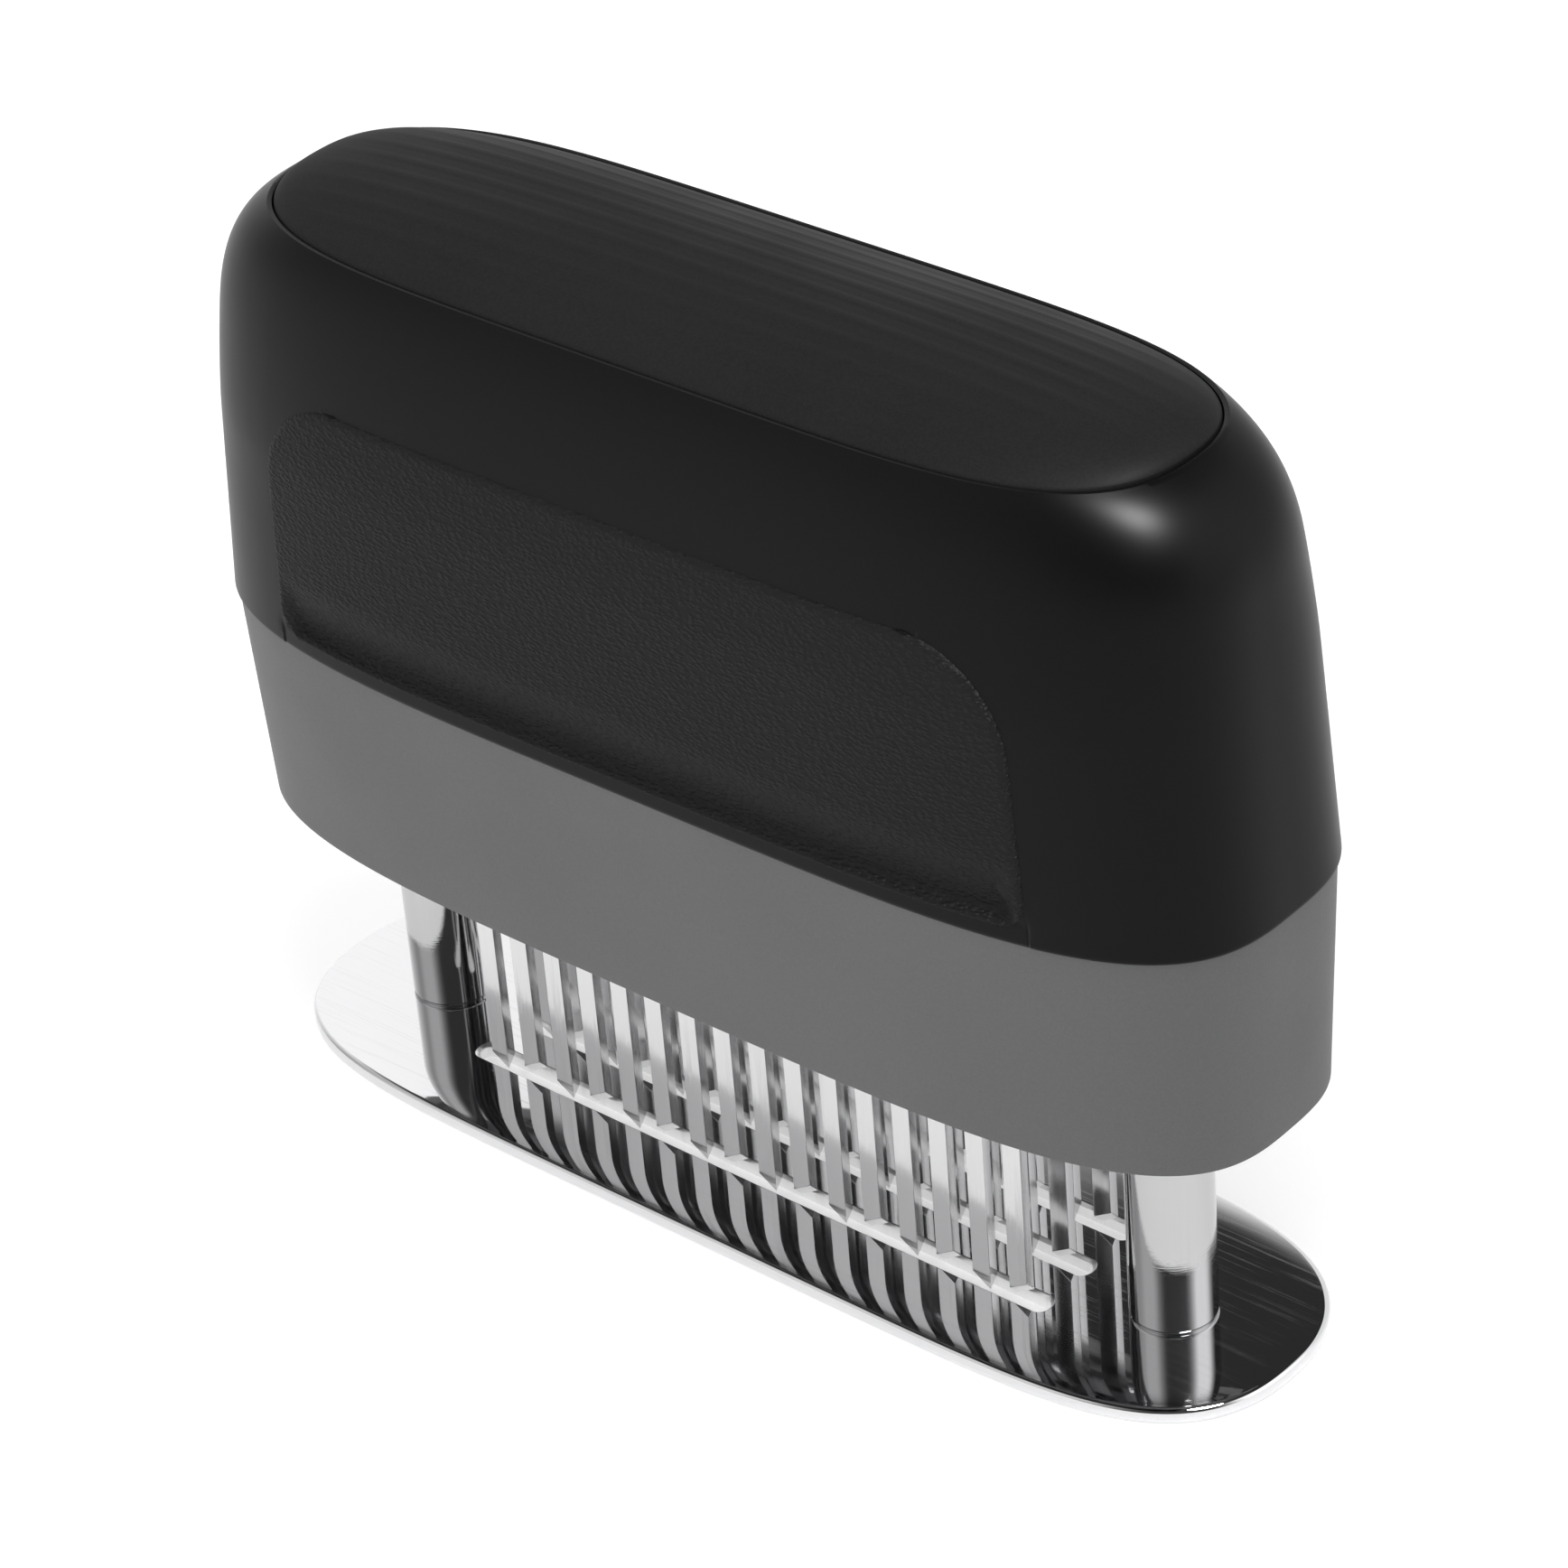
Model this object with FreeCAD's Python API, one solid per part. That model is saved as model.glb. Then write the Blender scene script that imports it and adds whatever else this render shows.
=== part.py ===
"""Hand-held meat tenderizer with three rows of blades behind a spring-loaded guard plate.

Millimetres, +Z up. The origin is the middle of the guard plate's underside, +X runs along
the length and -Y is the front. The guard plate with its two posts stays on the work; the
handle with the blades slides down the posts against two springs.
"""
import math
import os

import FreeCAD
import Part

Vector = FreeCAD.Vector

# Overall size, which the other pieces follow
SHELL_LENGTH = 151.9
SHELL_WIDTH = 48.3

# Guard plate
PLATE_END_INSET = 1.35
PLATE_SIDE_INSET = 3.0
PLATE_THICKNESS = 2.0
PLATE_END_POWER = 6.5
PLATE_SIDE_POWER = 2.3
PLATE_EDGE_RADIUS = 0.7
SLOT_WIDTH = 2.7
SLOT_END_ROOM = 2.5

# Blades
BLADE_PITCH = 5.5
BLADE_WIDTH = 2.64
BLADE_THICKNESS = 1.4
ROW_SIDE_ROOM = 12.95
TIP_HEIGHT = 1.2
TIP_RISE = 1.7
TIP_BEVEL = 1.6
BLADE_HEAD_WIDTH = 4.2
BLADE_HEAD_HEIGHT = 3.0
BLADE_FIT = 0.08

# Posts and what retains them
POST_DIAMETER = 10.6
POST_END_ROOM = 17.3
POST_FIT = 0.08
POST_SCREW_DIAMETER = 4.0
POST_SCREW_HEAD_DIAMETER = 8.0
POST_SCREW_DEPTH = 12.0
POST_SCREW_SOCKET = 2.4
SCREW_HOLE_FIT = 0.1
SCREW_TIP_ROOM = 1.0
SOCKET_SHARE = 2 / 3
SOCKET_DEPTH_SHARE = 0.5
STOP_WASHER_DIAMETER = 14.6
STOP_WASHER_THICKNESS = 1.5
STOP_SCREW_HEAD_DIAMETER = 7.5
STOP_SCREW_HEAD_HEIGHT = 3.0
STOP_GAP = 0.3

# Travel and springs
TRAVEL = 28.0
SPRING_WIRE = 1.2
SPRING_DIAMETER = 14.0
SPRING_TURNS = 11
SPRING_CLOSED_PITCH = 1.62
SPRING_TUBE_WALL = 1.5
SPRING_TUBE_FIT = 0.7
SPRING_RESERVE = 4.5

# Grey skirt band
BAND_RIM_HEIGHT = 35.7
BAND_HEIGHT = 29.8
BAND_END_TAPER = 0.85
BAND_SIDE_TAPER = 1.65
BAND_WALL = 2.5
BAND_LIP_WIDTH = 1.6
BAND_LIP_HEIGHT = 1.8
BAND_LIP_RISE = 1.2
TONGUE_HEIGHT = 4.0
TONGUE_WALL = 1.4
TONGUE_FIT = 0.1

# Black handle shell
SHELL_HEIGHT = 53.4
SHELL_OVERHANG = 0.4
SHELL_WALL = 2.4
SHELL_END_TAPER = 0.086
SHELL_TOP_ROOM = 2.9
END_ROUND = 23.1
END_ROUND_HEIGHT = 17.5
END_ROUND_POWER = 2.67
SIDE_ROUND = 7.66
SIDE_ROUND_HEIGHT = 29.7
SIDE_ROUND_POWER = 1.5
SEAM_END_POWER = 4.2
SEAM_SIDE_POWER = 3.0
TOP_END_POWER = 5.1
TOP_SIDE_POWER = 2.5
SHELL_SECTIONS = (0.0, 0.25, 0.5, 0.68, 0.8, 0.88, 0.94, 0.975, 1.0)
ROOF_THICKNESS = 3.0
SHELL_SCREW_DIAMETER = 3.0
SHELL_SCREW_HEAD_DIAMETER = 6.0
SHELL_SCREW_HEAD_HEIGHT = 2.2
SHELL_BOSS_DIAMETER = 9.0
SHELL_SCREW_END = 2.0

# Crowned top insert
INSERT_RIM = 0.7
INSERT_DEPTH = 3.2
INSERT_CROWN = 5.4
CROWN_END_SHARE = 0.9
CROWN_SECTIONS = (0.0, 0.12, 0.3, 0.5, 0.7, 0.86, 0.96)
INSERT_FIT = 0.12

# Grip pads
PAD_END_ROOM = 19.95
PAD_END_LEAN = 2.0
PAD_RISE = 2.2
PAD_HEIGHT = 34.0
PAD_TOP_CORNER = 12.5
PAD_BOTTOM_CORNER = 3.5
PAD_DEPTH = 1.1
PAD_PROUD = 0.5
PAD_FIT = 0.1

# Inner frame, blade cassette and bottom cover
COVER_THICKNESS = 2.5
COVER_FIT = 0.2
COVER_WINDOW_ROOM = 1.0
CASSETTE_HEIGHT = 10.0
CASSETTE_END_ROOM = 0.6
CASSETTE_END_WALL = 2.5
CASSETTE_SIDE_WALL = 3.7
CASSETTE_CORNER = 3.0
CAP_THICKNESS = 3.0
CAP_SCREW_DIAMETER = 2.5
CAP_SCREW_HEAD_DIAMETER = 4.6
CAP_SCREW_HEAD_HEIGHT = 1.6
CAP_SCREW_INSET = 14.5
BRIDGE_THICKNESS = 3.0
BRIDGE_OVERHANG = 2.4
BUSH_WALL = 1.3
BUSH_FLANGE_THICKNESS = 1.5
TUBE_CAP = 5.0
COLUMN_DIAMETER = 6.4
COLUMN_END_INSET = 11.5
COLUMN_ROOM = 0.4
COVER_SCREW_DIAMETER = 2.6
COVER_SCREW_HEAD_DIAMETER = 5.0
COVER_SCREW_HEAD_HEIGHT = 1.6
COVER_SCREW_DEPTH = 9.0

# Lengths and widths that follow
PLATE_LENGTH = SHELL_LENGTH - 2 * PLATE_END_INSET
PLATE_WIDTH = SHELL_WIDTH - 2 * PLATE_SIDE_INSET
ROW_SPACING = PLATE_WIDTH / 2 - ROW_SIDE_ROOM
POST_SPACING = PLATE_LENGTH - 2 * POST_END_ROOM
BAND_TOP_LENGTH = SHELL_LENGTH - 2 * SHELL_OVERHANG
BAND_TOP_WIDTH = SHELL_WIDTH - 2 * SHELL_OVERHANG
BAND_RIM_LENGTH = BAND_TOP_LENGTH - 2 * BAND_END_TAPER
BAND_RIM_WIDTH = BAND_TOP_WIDTH - 2 * BAND_SIDE_TAPER
PAD_BOTTOM_LENGTH = SHELL_LENGTH - 2 * PAD_END_ROOM
PAD_TOP_LENGTH = PAD_BOTTOM_LENGTH - 2 * PAD_END_LEAN
POST_X = POST_SPACING / 2
POST_RADIUS = POST_DIAMETER / 2
BUSH_OUTER = POST_RADIUS + POST_FIT + BUSH_WALL
TUBE_INNER = SPRING_DIAMETER / 2 + SPRING_TUBE_FIT
TUBE_OUTER = TUBE_INNER + SPRING_TUBE_WALL
CASSETTE_LENGTH = POST_SPACING - 2 * (TUBE_OUTER + CASSETTE_END_ROOM)
CASSETTE_WIDTH = 2 * ROW_SPACING + BLADE_THICKNESS + 2 * CASSETTE_SIDE_WALL
BLADE_RUN = CASSETTE_LENGTH - BLADE_HEAD_WIDTH - 2 * CASSETTE_END_WALL
BLADES_PER_ROW = int(BLADE_RUN / BLADE_PITCH) + 1
SLOT_LENGTH = (BLADES_PER_ROW - 1) * BLADE_PITCH + BLADE_WIDTH + 2 * SLOT_END_ROOM
CAP_SCREW_SPACING = CASSETTE_LENGTH - 2 * CAP_SCREW_INSET
BRIDGE_WIDTH = CASSETTE_WIDTH + 2 * BRIDGE_OVERHANG
COLUMN_SPACING_X = CASSETTE_LENGTH - 2 * COLUMN_END_INSET
COLUMN_SPACING_Y = CASSETTE_WIDTH + COLUMN_DIAMETER + 2 * COLUMN_ROOM

# Heights that follow
SPRING_LENGTH = TRAVEL + SPRING_TURNS * SPRING_WIRE + SPRING_RESERVE
PLATE_TOP = PLATE_THICKNESS
SHELL_TOP_HEIGHT = SHELL_HEIGHT + SHELL_TOP_ROOM
SEAM_HEIGHT = BAND_RIM_HEIGHT + BAND_HEIGHT
SHELL_TOP = SEAM_HEIGHT + SHELL_HEIGHT
COVER_BOTTOM = BAND_RIM_HEIGHT + BAND_LIP_RISE + BAND_LIP_HEIGHT
COVER_TOP = COVER_BOTTOM + COVER_THICKNESS
CASSETTE_TOP = COVER_TOP + CASSETTE_HEIGHT
CAP_TOP = CASSETTE_TOP + CAP_THICKNESS
BRIDGE_TOP = CAP_TOP + BRIDGE_THICKNESS
BUSH_FLANGE_TOP = BRIDGE_TOP + BUSH_FLANGE_THICKNESS
POST_TOP = BUSH_FLANGE_TOP + STOP_GAP
STOP_WASHER_TOP = POST_TOP + STOP_WASHER_THICKNESS
TUBE_ROOF = STOP_WASHER_TOP + SPRING_LENGTH
TUBE_TOP = TUBE_ROOF + TUBE_CAP
RECESS_FLOOR = SHELL_TOP - INSERT_DEPTH
SHELL_ROOF = RECESS_FLOOR - ROOF_THICKNESS

ROWS = {"front": -ROW_SPACING, "middle": 0.0, "rear": ROW_SPACING}
SIDES = {"left": -1, "right": 1}
OUTLINE_POINTS = 48
OVERCUT = 1.0
BIG = 400.0


def save(node, shape):
    """Write one sub-part."""
    shape.exportStep("parts/" + node + ".step")


def oval_point(half_length, half_width, end_power, side_power, turn):
    """Point where a ray from the middle meets a squared-off oval."""
    across = abs(math.cos(turn))
    along = abs(math.sin(turn))
    low, high = 0.5, 2.0
    for _ in range(50):
        reach = (low + high) / 2
        if (reach * across) ** end_power + (reach * along) ** side_power < 1:
            low = reach
        else:
            high = reach
    return low * math.cos(turn) * half_length, low * math.sin(turn) * half_width


def oval_wire(half_length, half_width, end_power, side_power, height):
    """Closed smooth outline at one height."""
    points = []
    for step in range(OUTLINE_POINTS):
        turn = 2 * math.pi * (step + 0.5) / OUTLINE_POINTS
        x, y = oval_point(half_length, half_width, end_power, side_power, turn)
        points.append(Vector(x, y, height))
    curve = Part.BSplineCurve()
    curve.interpolate(points, PeriodicFlag=True)
    return Part.Wire(curve.toShape())


def prism(wire, height):
    """Upright solid on a flat outline."""
    return Part.Face(wire).extrude(Vector(0, 0, height))


def cylinder(radius, bottom, top, x=0.0, y=0.0):
    """Upright cylinder between two heights."""
    return Part.makeCylinder(radius, top - bottom, Vector(x, y, bottom))


def block(length, width, bottom, top, x=0.0, y=0.0):
    """Upright block centred on a point between two heights."""
    corner = Vector(x - length / 2, y - width / 2, bottom)
    return Part.makeBox(length, width, top - bottom, corner)


def rounded_block(length, width, radius, bottom, top, y=0.0):
    """Upright block with round corners in plan."""
    inner_length = length - 2 * radius
    inner_width = width - 2 * radius
    solid = block(inner_length, width, bottom, top, 0, y)
    if inner_width > 0.001:
        solid = solid.fuse(block(length, inner_width, bottom, top, 0, y))
    for side_x in (-1, 1):
        for side_y in (-1, 1):
            solid = solid.fuse(cylinder(radius, bottom, top, side_x * inner_length / 2,
                                        y + side_y * inner_width / 2))
    return solid.removeSplitter()


def slot(length, width, bottom, top, y):
    """Upright slot tool with half-round ends."""
    straight = length - width
    solid = block(straight, width, bottom, top, 0, y)
    for side in (-1, 1):
        solid = solid.fuse(cylinder(width / 2, bottom, top, side * straight / 2, y))
    return solid.removeSplitter()


def shell_round(rise, depth, round_height, power):
    """Inset of the shell's rounded top edge at a height above the seam."""
    share = (rise - (SHELL_TOP_HEIGHT - round_height)) / round_height
    share = min(max(share, 0.0), 0.9999)
    return depth * (1 - (1 - share ** power) ** (1 / power))


def shell_wire(rise, offset):
    """Outline of the shell at a height above the seam, moved outwards by an offset."""
    end_inset = SHELL_END_TAPER * rise
    end_inset += shell_round(rise, END_ROUND, END_ROUND_HEIGHT, END_ROUND_POWER)
    side_inset = shell_round(rise, SIDE_ROUND, SIDE_ROUND_HEIGHT, SIDE_ROUND_POWER)
    share = rise / SHELL_HEIGHT
    return oval_wire(SHELL_LENGTH / 2 - end_inset + offset,
                     SHELL_WIDTH / 2 - side_inset + offset,
                     SEAM_END_POWER + share * (TOP_END_POWER - SEAM_END_POWER),
                     SEAM_SIDE_POWER + share * (TOP_SIDE_POWER - SEAM_SIDE_POWER),
                     SEAM_HEIGHT + rise)


def shell_body(offset, top_rise):
    """Solid of the shell's outer form, moved outwards by an offset."""
    rises = [share * top_rise for share in SHELL_SECTIONS]
    return Part.makeLoft([shell_wire(rise, offset) for rise in rises], True, False)


def insert_wire(offset, height):
    """Outline of the top insert, moved outwards by an offset."""
    end_inset = SHELL_END_TAPER * SHELL_HEIGHT + INSERT_RIM
    end_inset += shell_round(SHELL_HEIGHT, END_ROUND, END_ROUND_HEIGHT, END_ROUND_POWER)
    side_inset = shell_round(SHELL_HEIGHT, SIDE_ROUND, SIDE_ROUND_HEIGHT, SIDE_ROUND_POWER)
    side_inset += INSERT_RIM
    return oval_wire(SHELL_LENGTH / 2 - end_inset + offset,
                     SHELL_WIDTH / 2 - side_inset + offset,
                     TOP_END_POWER, TOP_SIDE_POWER, height)


def band_wire(height, offset):
    """Outline of the band at a height, moved outwards by an offset."""
    share = (height - BAND_RIM_HEIGHT) / BAND_HEIGHT
    length = BAND_RIM_LENGTH + share * (BAND_TOP_LENGTH - BAND_RIM_LENGTH)
    width = BAND_RIM_WIDTH + share * (BAND_TOP_WIDTH - BAND_RIM_WIDTH)
    return oval_wire(length / 2 + offset, width / 2 + offset,
                     SEAM_END_POWER, SEAM_SIDE_POWER, height)


def band_body(offset, bottom, top):
    """Solid of the band's outer form between two heights, moved outwards by an offset."""
    return Part.makeLoft([band_wire(bottom, offset), band_wire(top, offset)], True, True)


def pad_face_wire(offset):
    """Outline of a grip pad seen from the front, in the XZ plane, grown by an offset."""
    low = SEAM_HEIGHT + PAD_RISE - offset
    high = SEAM_HEIGHT + PAD_RISE + PAD_HEIGHT + offset
    bottom = PAD_BOTTOM_LENGTH / 2 + offset
    top = PAD_TOP_LENGTH / 2 + offset
    corners = [Vector(-bottom, 0, low), Vector(bottom, 0, low),
               Vector(top, 0, high), Vector(-top, 0, high)]
    radii = [PAD_BOTTOM_CORNER + offset] * 2 + [PAD_TOP_CORNER + offset] * 2
    return rounded_polygon(corners, radii)


def rounded_polygon(corners, radii):
    """Closed outline through corners, each turned by an arc of its own radius."""
    starts = []
    ends = []
    middles = []
    count = len(corners)
    for index, corner in enumerate(corners):
        back = (corners[index - 1] - corner).normalize()
        ahead = (corners[(index + 1) % count] - corner).normalize()
        half = math.acos(back.dot(ahead)) / 2
        reach = radii[index] / math.tan(half)
        bisector = (back + ahead).normalize()
        centre = corner + bisector * (radii[index] / math.sin(half))
        starts.append(corner + back * reach)
        ends.append(corner + ahead * reach)
        middles.append(centre - bisector * radii[index])
    edges = []
    for index in range(count):
        arc = Part.Arc(starts[index], middles[index], ends[index])
        edges.append(arc.toShape())
        edges.append(Part.LineSegment(ends[index], starts[(index + 1) % count]).toShape())
    return Part.Wire(edges)


def pad_tool(side, offset):
    """Block through one long side of the shell with the outline of a pad."""
    face = Part.Face(pad_face_wire(offset))
    return face.extrude(Vector(0, side * BIG, 0))


def guard_plate():
    """Steel plate that rests on the meat, slotted for the blades."""
    wire = oval_wire(PLATE_LENGTH / 2, PLATE_WIDTH / 2, PLATE_END_POWER, PLATE_SIDE_POWER, 0)
    plate = prism(wire, PLATE_THICKNESS)
    rim = [edge for edge in plate.Edges
           if abs(edge.BoundBox.ZMin - PLATE_TOP) < 0.001 and edge.Length > PLATE_LENGTH]
    plate = plate.makeFillet(PLATE_EDGE_RADIUS, rim)
    for y in ROWS.values():
        plate = plate.cut(slot(SLOT_LENGTH, SLOT_WIDTH, -OVERCUT, PLATE_TOP + OVERCUT, y))
    for side in SIDES.values():
        plate = plate.cut(countersink(side * POST_X))
    return plate


def countersink(x):
    """Hole through the plate for a post's screw."""
    shank = POST_SCREW_DIAMETER / 2 + SCREW_HOLE_FIT
    head = POST_SCREW_HEAD_DIAMETER / 2 + SCREW_HOLE_FIT
    cone = Part.makeCone(head, shank, PLATE_THICKNESS, Vector(x, 0, 0))
    return cone.fuse(cylinder(shank, -OVERCUT, PLATE_TOP + OVERCUT, x))


def post(side):
    """Round post with a threaded hole in each end."""
    x = side * POST_X
    hole = POST_SCREW_DIAMETER / 2
    rod = cylinder(POST_RADIUS, PLATE_TOP, POST_TOP, x)
    rod = rod.cut(cylinder(hole, PLATE_TOP, PLATE_TOP + POST_SCREW_DEPTH, x))
    return rod.cut(cylinder(hole, POST_TOP - POST_SCREW_DEPTH, POST_TOP, x))


def post_screw(side):
    """Countersunk screw that holds a post to the plate."""
    x = side * POST_X
    shank = POST_SCREW_DIAMETER / 2
    head = POST_SCREW_HEAD_DIAMETER / 2
    socket_depth = PLATE_THICKNESS * SOCKET_DEPTH_SHARE
    cone = Part.makeCone(head, shank, PLATE_THICKNESS - SCREW_HOLE_FIT,
                         Vector(x, 0, SCREW_HOLE_FIT))
    tip = PLATE_TOP + POST_SCREW_DEPTH - SCREW_TIP_ROOM
    screw = cone.fuse(cylinder(shank, SCREW_HOLE_FIT, tip, x))
    return screw.cut(hexagon(POST_SCREW_SOCKET, SCREW_HOLE_FIT, SCREW_HOLE_FIT + socket_depth,
                             x))


def hexagon(width, bottom, top, x=0.0, y=0.0):
    """Upright six-sided tool for a screw's socket, its width over the corners."""
    radius = width / 2
    corners = []
    for step in range(7):
        turn = math.pi / 3 * step
        corners.append(Vector(x + radius * math.cos(turn), y + radius * math.sin(turn), bottom))
    return prism(Part.makePolygon(corners), top - bottom)


def stop_washer(side):
    """Washer on a post's top that stops it at its bush and carries the spring."""
    x = side * POST_X
    ring = cylinder(STOP_WASHER_DIAMETER / 2, POST_TOP, STOP_WASHER_TOP, x)
    return ring.cut(cylinder(POST_SCREW_DIAMETER / 2 + SCREW_HOLE_FIT, POST_TOP,
                             STOP_WASHER_TOP, x))


def stop_screw(side):
    """Screw that holds the stop washer on a post's top."""
    x = side * POST_X
    top = STOP_WASHER_TOP + STOP_SCREW_HEAD_HEIGHT
    screw = cylinder(STOP_SCREW_HEAD_DIAMETER / 2, STOP_WASHER_TOP, top, x)
    tip = POST_TOP - POST_SCREW_DEPTH + SCREW_TIP_ROOM
    screw = screw.fuse(cylinder(POST_SCREW_DIAMETER / 2, tip, STOP_WASHER_TOP, x))
    return screw.cut(hexagon(POST_SCREW_DIAMETER * SOCKET_SHARE,
                             top - STOP_SCREW_HEAD_HEIGHT * SOCKET_DEPTH_SHARE, top, x))


def spring(side):
    """Coil spring between a post's stop washer and the roof of its tube."""
    radius = (SPRING_DIAMETER - SPRING_WIRE) / 2
    clear = SPRING_WIRE / 2
    bottom = STOP_WASHER_TOP + clear
    rise = SPRING_LENGTH - 2 * clear
    closed = SPRING_CLOSED_PITCH
    open_pitch = (rise - 2 * closed) / (SPRING_TURNS - 2)
    x = side * POST_X
    quarters = 4 * SPRING_TURNS

    def height(quarter):
        turns = quarter / 4
        if turns <= 1:
            return bottom + closed * turns
        if turns >= SPRING_TURNS - 1:
            return bottom + rise - closed * (SPRING_TURNS - turns)
        return bottom + closed + open_pitch * (turns - 1)

    points = []
    for quarter in range(2 * quarters + 1):
        turn = math.pi / 4 * quarter
        points.append(Vector(x + radius * math.cos(turn), radius * math.sin(turn),
                             height(quarter / 2)))
    edges = []
    for index in range(0, 2 * quarters, 2):
        edges.append(Part.Arc(points[index], points[index + 1], points[index + 2]).toShape())
    path = Part.Wire(edges)
    start = Part.Wire(Part.makeCircle(SPRING_WIRE / 2, points[0], edges[0].tangentAt(
        edges[0].FirstParameter)))
    coil = path.makePipeShell([start], True, False)
    gap = min((a - b).Length for i, a in enumerate(points) for b in points[i + 7:])
    print("spring", side, "least gap to itself", round(gap - SPRING_WIRE, 2))
    ends = block(BIG, BIG, STOP_WASHER_TOP, STOP_WASHER_TOP + SPRING_LENGTH)
    return coil.common(ends)


def blade(x, y, flipped):
    """Flat blade with a T-shaped head and a slanted tip, ground on one face."""
    half = BLADE_WIDTH / 2
    back = BLADE_THICKNESS / 2
    neck = CASSETTE_TOP - BLADE_HEAD_HEIGHT - BLADE_FIT
    rear = [Vector(-half, back, TIP_HEIGHT), Vector(half, back, TIP_HEIGHT + TIP_RISE),
            Vector(half, back, neck), Vector(-half, back, neck)]
    front = [Vector(-half, -back, TIP_HEIGHT + TIP_BEVEL),
             Vector(half, -back, TIP_HEIGHT + TIP_RISE + TIP_BEVEL),
             Vector(half, -back, neck), Vector(-half, -back, neck)]
    faces = [flat_face(rear), flat_face(front)]
    for index in range(4):
        ahead = (index + 1) % 4
        faces.append(flat_face([rear[index], rear[ahead], front[ahead], front[index]]))
    shank = Part.Solid(Part.Shell(faces))
    head = block(BLADE_HEAD_WIDTH, BLADE_THICKNESS, neck, neck + BLADE_HEAD_HEIGHT)
    solid = shank.fuse(head).removeSplitter()
    if flipped:
        solid.rotate(Vector(0, 0, 0), Vector(0, 0, 1), 180)
    solid.translate(Vector(x, y, 0))
    return solid


def flat_face(corners):
    """Flat face on a closed list of corners."""
    return Part.Face(Part.makePolygon(corners + corners[:1]))


def blade_x(index):
    """Place of a blade along its row."""
    return (index - (BLADES_PER_ROW - 1) / 2) * BLADE_PITCH


def blade_row(y):
    """Row of blades whose points lean left and right in turn."""
    blades = [blade(blade_x(index), y, index % 2 == 0) for index in range(BLADES_PER_ROW)]
    return Part.makeCompound(blades)


def cover_wire(height):
    """Outline of the bottom cover, inside the band."""
    return band_wire(height, -BAND_WALL - COVER_FIT)


def bottom_cover():
    """Cover inside the skirt with a window for each blade row."""
    cover = prism(cover_wire(COVER_BOTTOM), COVER_THICKNESS)
    for y in ROWS.values():
        cover = cover.cut(slot(SLOT_LENGTH, BLADE_THICKNESS + 2 * COVER_WINDOW_ROOM,
                               COVER_BOTTOM - OVERCUT, COVER_TOP + OVERCUT, y))
    for side in SIDES.values():
        cover = cover.cut(cylinder(POST_RADIUS + COVER_WINDOW_ROOM, COVER_BOTTOM - OVERCUT,
                                   COVER_TOP + OVERCUT, side * POST_X))
    for x, y in column_places():
        cover = cover.cut(cylinder(COVER_SCREW_DIAMETER / 2 + SCREW_HOLE_FIT,
                                   COVER_BOTTOM, COVER_TOP, x, y))
        cover = cover.cut(cylinder(COVER_SCREW_HEAD_DIAMETER / 2 + SCREW_HOLE_FIT,
                                   COVER_BOTTOM, COVER_BOTTOM + COVER_SCREW_HEAD_HEIGHT, x, y))
    return cover


def column_places():
    """Centres of the frame's four columns."""
    return [(side_x * COLUMN_SPACING_X / 2, side_y * COLUMN_SPACING_Y / 2)
            for side_x in (-1, 1) for side_y in (-1, 1)]


def cover_screws():
    """Screws that hold the bottom cover up to the frame."""
    screws = []
    for x, y in column_places():
        head_top = COVER_BOTTOM + COVER_SCREW_HEAD_HEIGHT
        screw = cylinder(COVER_SCREW_HEAD_DIAMETER / 2, COVER_BOTTOM, head_top, x, y)
        tip = COVER_TOP + COVER_SCREW_DEPTH - SCREW_TIP_ROOM
        screw = screw.fuse(cylinder(COVER_SCREW_DIAMETER / 2, head_top, tip, x, y))
        socket_top = COVER_BOTTOM + COVER_SCREW_HEAD_HEIGHT * SOCKET_DEPTH_SHARE
        screws.append(screw.cut(hexagon(COVER_SCREW_DIAMETER * SOCKET_SHARE, COVER_BOTTOM,
                                        socket_top, x, y)))
    return Part.makeCompound(screws)


def cap_screw_places():
    """Centres of the cassette cap's four screws, between the blade rows."""
    return [(side_x * CAP_SCREW_SPACING / 2, side_y * ROW_SPACING / 2)
            for side_x in (-1, 1) for side_y in (-1, 1)]


def blade_cassette():
    """Block whose stepped pockets hold the blades by their heads."""
    cassette = rounded_block(CASSETTE_LENGTH, CASSETTE_WIDTH, CASSETTE_CORNER,
                             COVER_TOP, CASSETTE_TOP)
    depth = BLADE_THICKNESS + 2 * BLADE_FIT
    step = CASSETTE_TOP - BLADE_HEAD_HEIGHT - BLADE_FIT
    pockets = []
    for y in ROWS.values():
        for index in range(BLADES_PER_ROW):
            x = blade_x(index)
            pocket = block(BLADE_WIDTH + 2 * BLADE_FIT, depth, COVER_TOP - OVERCUT, step, x, y)
            pocket = pocket.fuse(block(BLADE_HEAD_WIDTH + 2 * BLADE_FIT, depth, step,
                                       CASSETTE_TOP + OVERCUT, x, y))
            pockets.append(pocket)
    for x, y in cap_screw_places():
        pockets.append(cylinder(CAP_SCREW_DIAMETER / 2, COVER_TOP + CAP_THICKNESS,
                                CASSETTE_TOP + OVERCUT, x, y))
    return cassette.cut(Part.makeCompound(pockets))


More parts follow.
